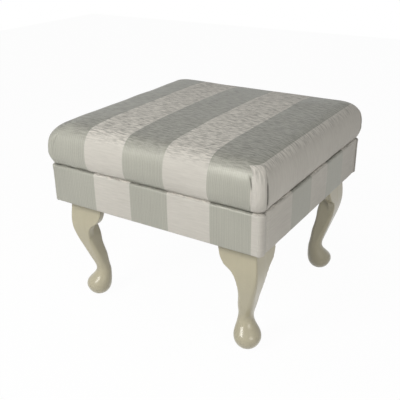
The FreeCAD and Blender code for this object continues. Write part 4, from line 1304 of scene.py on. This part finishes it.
def build_setting(setting):
    """White floor that keeps a faint shadow, even room light, three soft lamps and the camera."""
    scene = bpy.context.scene
    scene.view_settings.view_transform = "Standard"

    world = bpy.data.worlds.new("room")
    world.use_nodes = True
    tree = world.node_tree
    shown = tree.nodes["Background"]
    shown.inputs["Color"].default_value = (1.0, 1.0, 1.0, 1.0)
    direct = seen_directly(tree)
    strength = math_node(tree, "MULTIPLY_ADD", direct, 1.0 - setting.fill, setting.fill)
    tree.links.new(strength, shown.inputs["Strength"])
    scene.world = world

    half = FLOOR_SIDE / 2
    corners = [(-half, -half, 0), (half, -half, 0), (half, half, 0), (-half, half, 0)]
    floor_mesh = bpy.data.meshes.new("floor")
    floor_mesh.from_pydata(corners, [], [(0, 1, 2, 3)])
    floor = bpy.data.objects.new("floor", floor_mesh)
    scene.collection.objects.link(floor)
    finish = bpy.data.materials.new("floor")
    finish.use_nodes = True
    tree = finish.node_tree
    shader = tree.nodes["Principled BSDF"]
    shader.inputs["Base Color"].default_value = list(setting.backdrop) + [1.0]
    shader.inputs["Roughness"].default_value = 0.9
    shader.inputs["Specular IOR Level"].default_value = 0.0
    glow = add_node(tree, "ShaderNodeEmission", {"Color": (1.0, 1.0, 1.0, 1.0), "Strength": 1.0})
    share = math_node(tree, "MULTIPLY", seen_directly(tree), setting.floor_glow)
    mixed = add_node(tree, "ShaderNodeMixShader", {0: share, 1: shader.outputs[0], 2: glow.outputs[0]})
    tree.links.new(mixed.outputs[0], tree.nodes["Material Output"].inputs["Surface"])
    floor_mesh.materials.append(finish)

    for lamp in LAMPS:
        area_lamp(*lamp)

    camera = bpy.data.cameras.new("camera")
    camera.sensor_width = 36.0
    camera.lens = setting.focal
    camera.shift_x = CAMERA_SHIFT
    camera.clip_start, camera.clip_end = 0.05, 20.0
    thing = bpy.data.objects.new("camera", camera)
    scene.collection.objects.link(thing)
    flat, rise = math.cos(CAMERA_ELEVATION), math.sin(CAMERA_ELEVATION)
    back = np.array([math.sin(CAMERA_AZIMUTH) * flat, -math.cos(CAMERA_AZIMUTH) * flat, rise])
    thing.matrix_world = facing(back, np.array(setting.camera)) @ Matrix.Rotation(CAMERA_ROLL, 4, "Z")
    scene.camera = thing


def finish_frame():
    """Gives every carried-over node its own finish, with the timber's grain along each piece."""
    sideways = finish_timber("pine_sideways", (0.62, 0.43, 0.24), (14.0, 160.0, 160.0))
    lengthways = finish_timber("pine_lengthways", (0.60, 0.42, 0.24), (160.0, 14.0, 160.0))
    upright = finish_timber("pine_upright", (0.61, 0.42, 0.23), (160.0, 160.0, 14.0))
    board = finish_timber("plywood", (0.66, 0.50, 0.31), (18.0, 150.0, 150.0))
    steel = finish_metal("steel", (0.62, 0.61, 0.59), 0.35)
    zinc = zinc_finish()
    finishes = {"front_rail": sideways, "rear_rail": sideways, "seat_board": board,
                "left_rail": lengthways, "right_rail": lengthways,
                "left_batten": lengthways, "right_batten": lengthways,
                "frame_screws": zinc, "batten_screws": zinc, "leg_bolts": steel, "tee_nuts": steel}
    for name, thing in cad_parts.items():
        finish = upright if name.endswith("corner_block") else finishes.get(name)
        if finish is not None:
            thing.data.materials.clear()
            thing.data.materials.append(finish)


class FOOTSTOOL_PT_sidebar(bpy.types.Panel):
    """Footstool pieces and their settings"""
    bl_idname = "FOOTSTOOL_PT_sidebar"
    bl_label = "Footstool"
    bl_space_type = "VIEW_3D"
    bl_region_type = "UI"
    bl_category = "Footstool"

    def draw(self, context):
        for step in STEPS:
            self.layout.operator(step.bl_idname)
        for group in GROUPS:
            settings = getattr(context.scene, group)
            box = self.layout.box()
            for name in settings.bl_rna.properties.keys():
                if name not in ("rna_type", "name"):
                    box.prop(settings, name)


GROUPS = {"footstool_cloth": FootstoolCloth, "footstool_legs": FootstoolLegs,
          "footstool_setting": FootstoolSetting}
STEPS = (FOOTSTOOL_OT_setting, FOOTSTOOL_OT_frame_finishes, FOOTSTOOL_OT_padding, FOOTSTOOL_OT_seat_cover,
         FOOTSTOOL_OT_band_covers, FOOTSTOOL_OT_bottom_cloth, FOOTSTOOL_OT_legs)
CLASSES = (*GROUPS.values(), *STEPS, FOOTSTOOL_PT_sidebar)


def register():
    for made in CLASSES:
        bpy.utils.register_class(made)
    for name, group in GROUPS.items():
        setattr(bpy.types.Scene, name, PointerProperty(type=group))


def unregister():
    for name in GROUPS:
        delattr(bpy.types.Scene, name)
    for made in reversed(CLASSES):
        bpy.utils.unregister_class(made)


def main():
    register()
    for step in STEPS:
        family, action = step.bl_idname.split(".")
        getattr(getattr(bpy.ops, family), action)()
    bpy.context.view_layer.update()


if __name__ == "__main__":
    main()
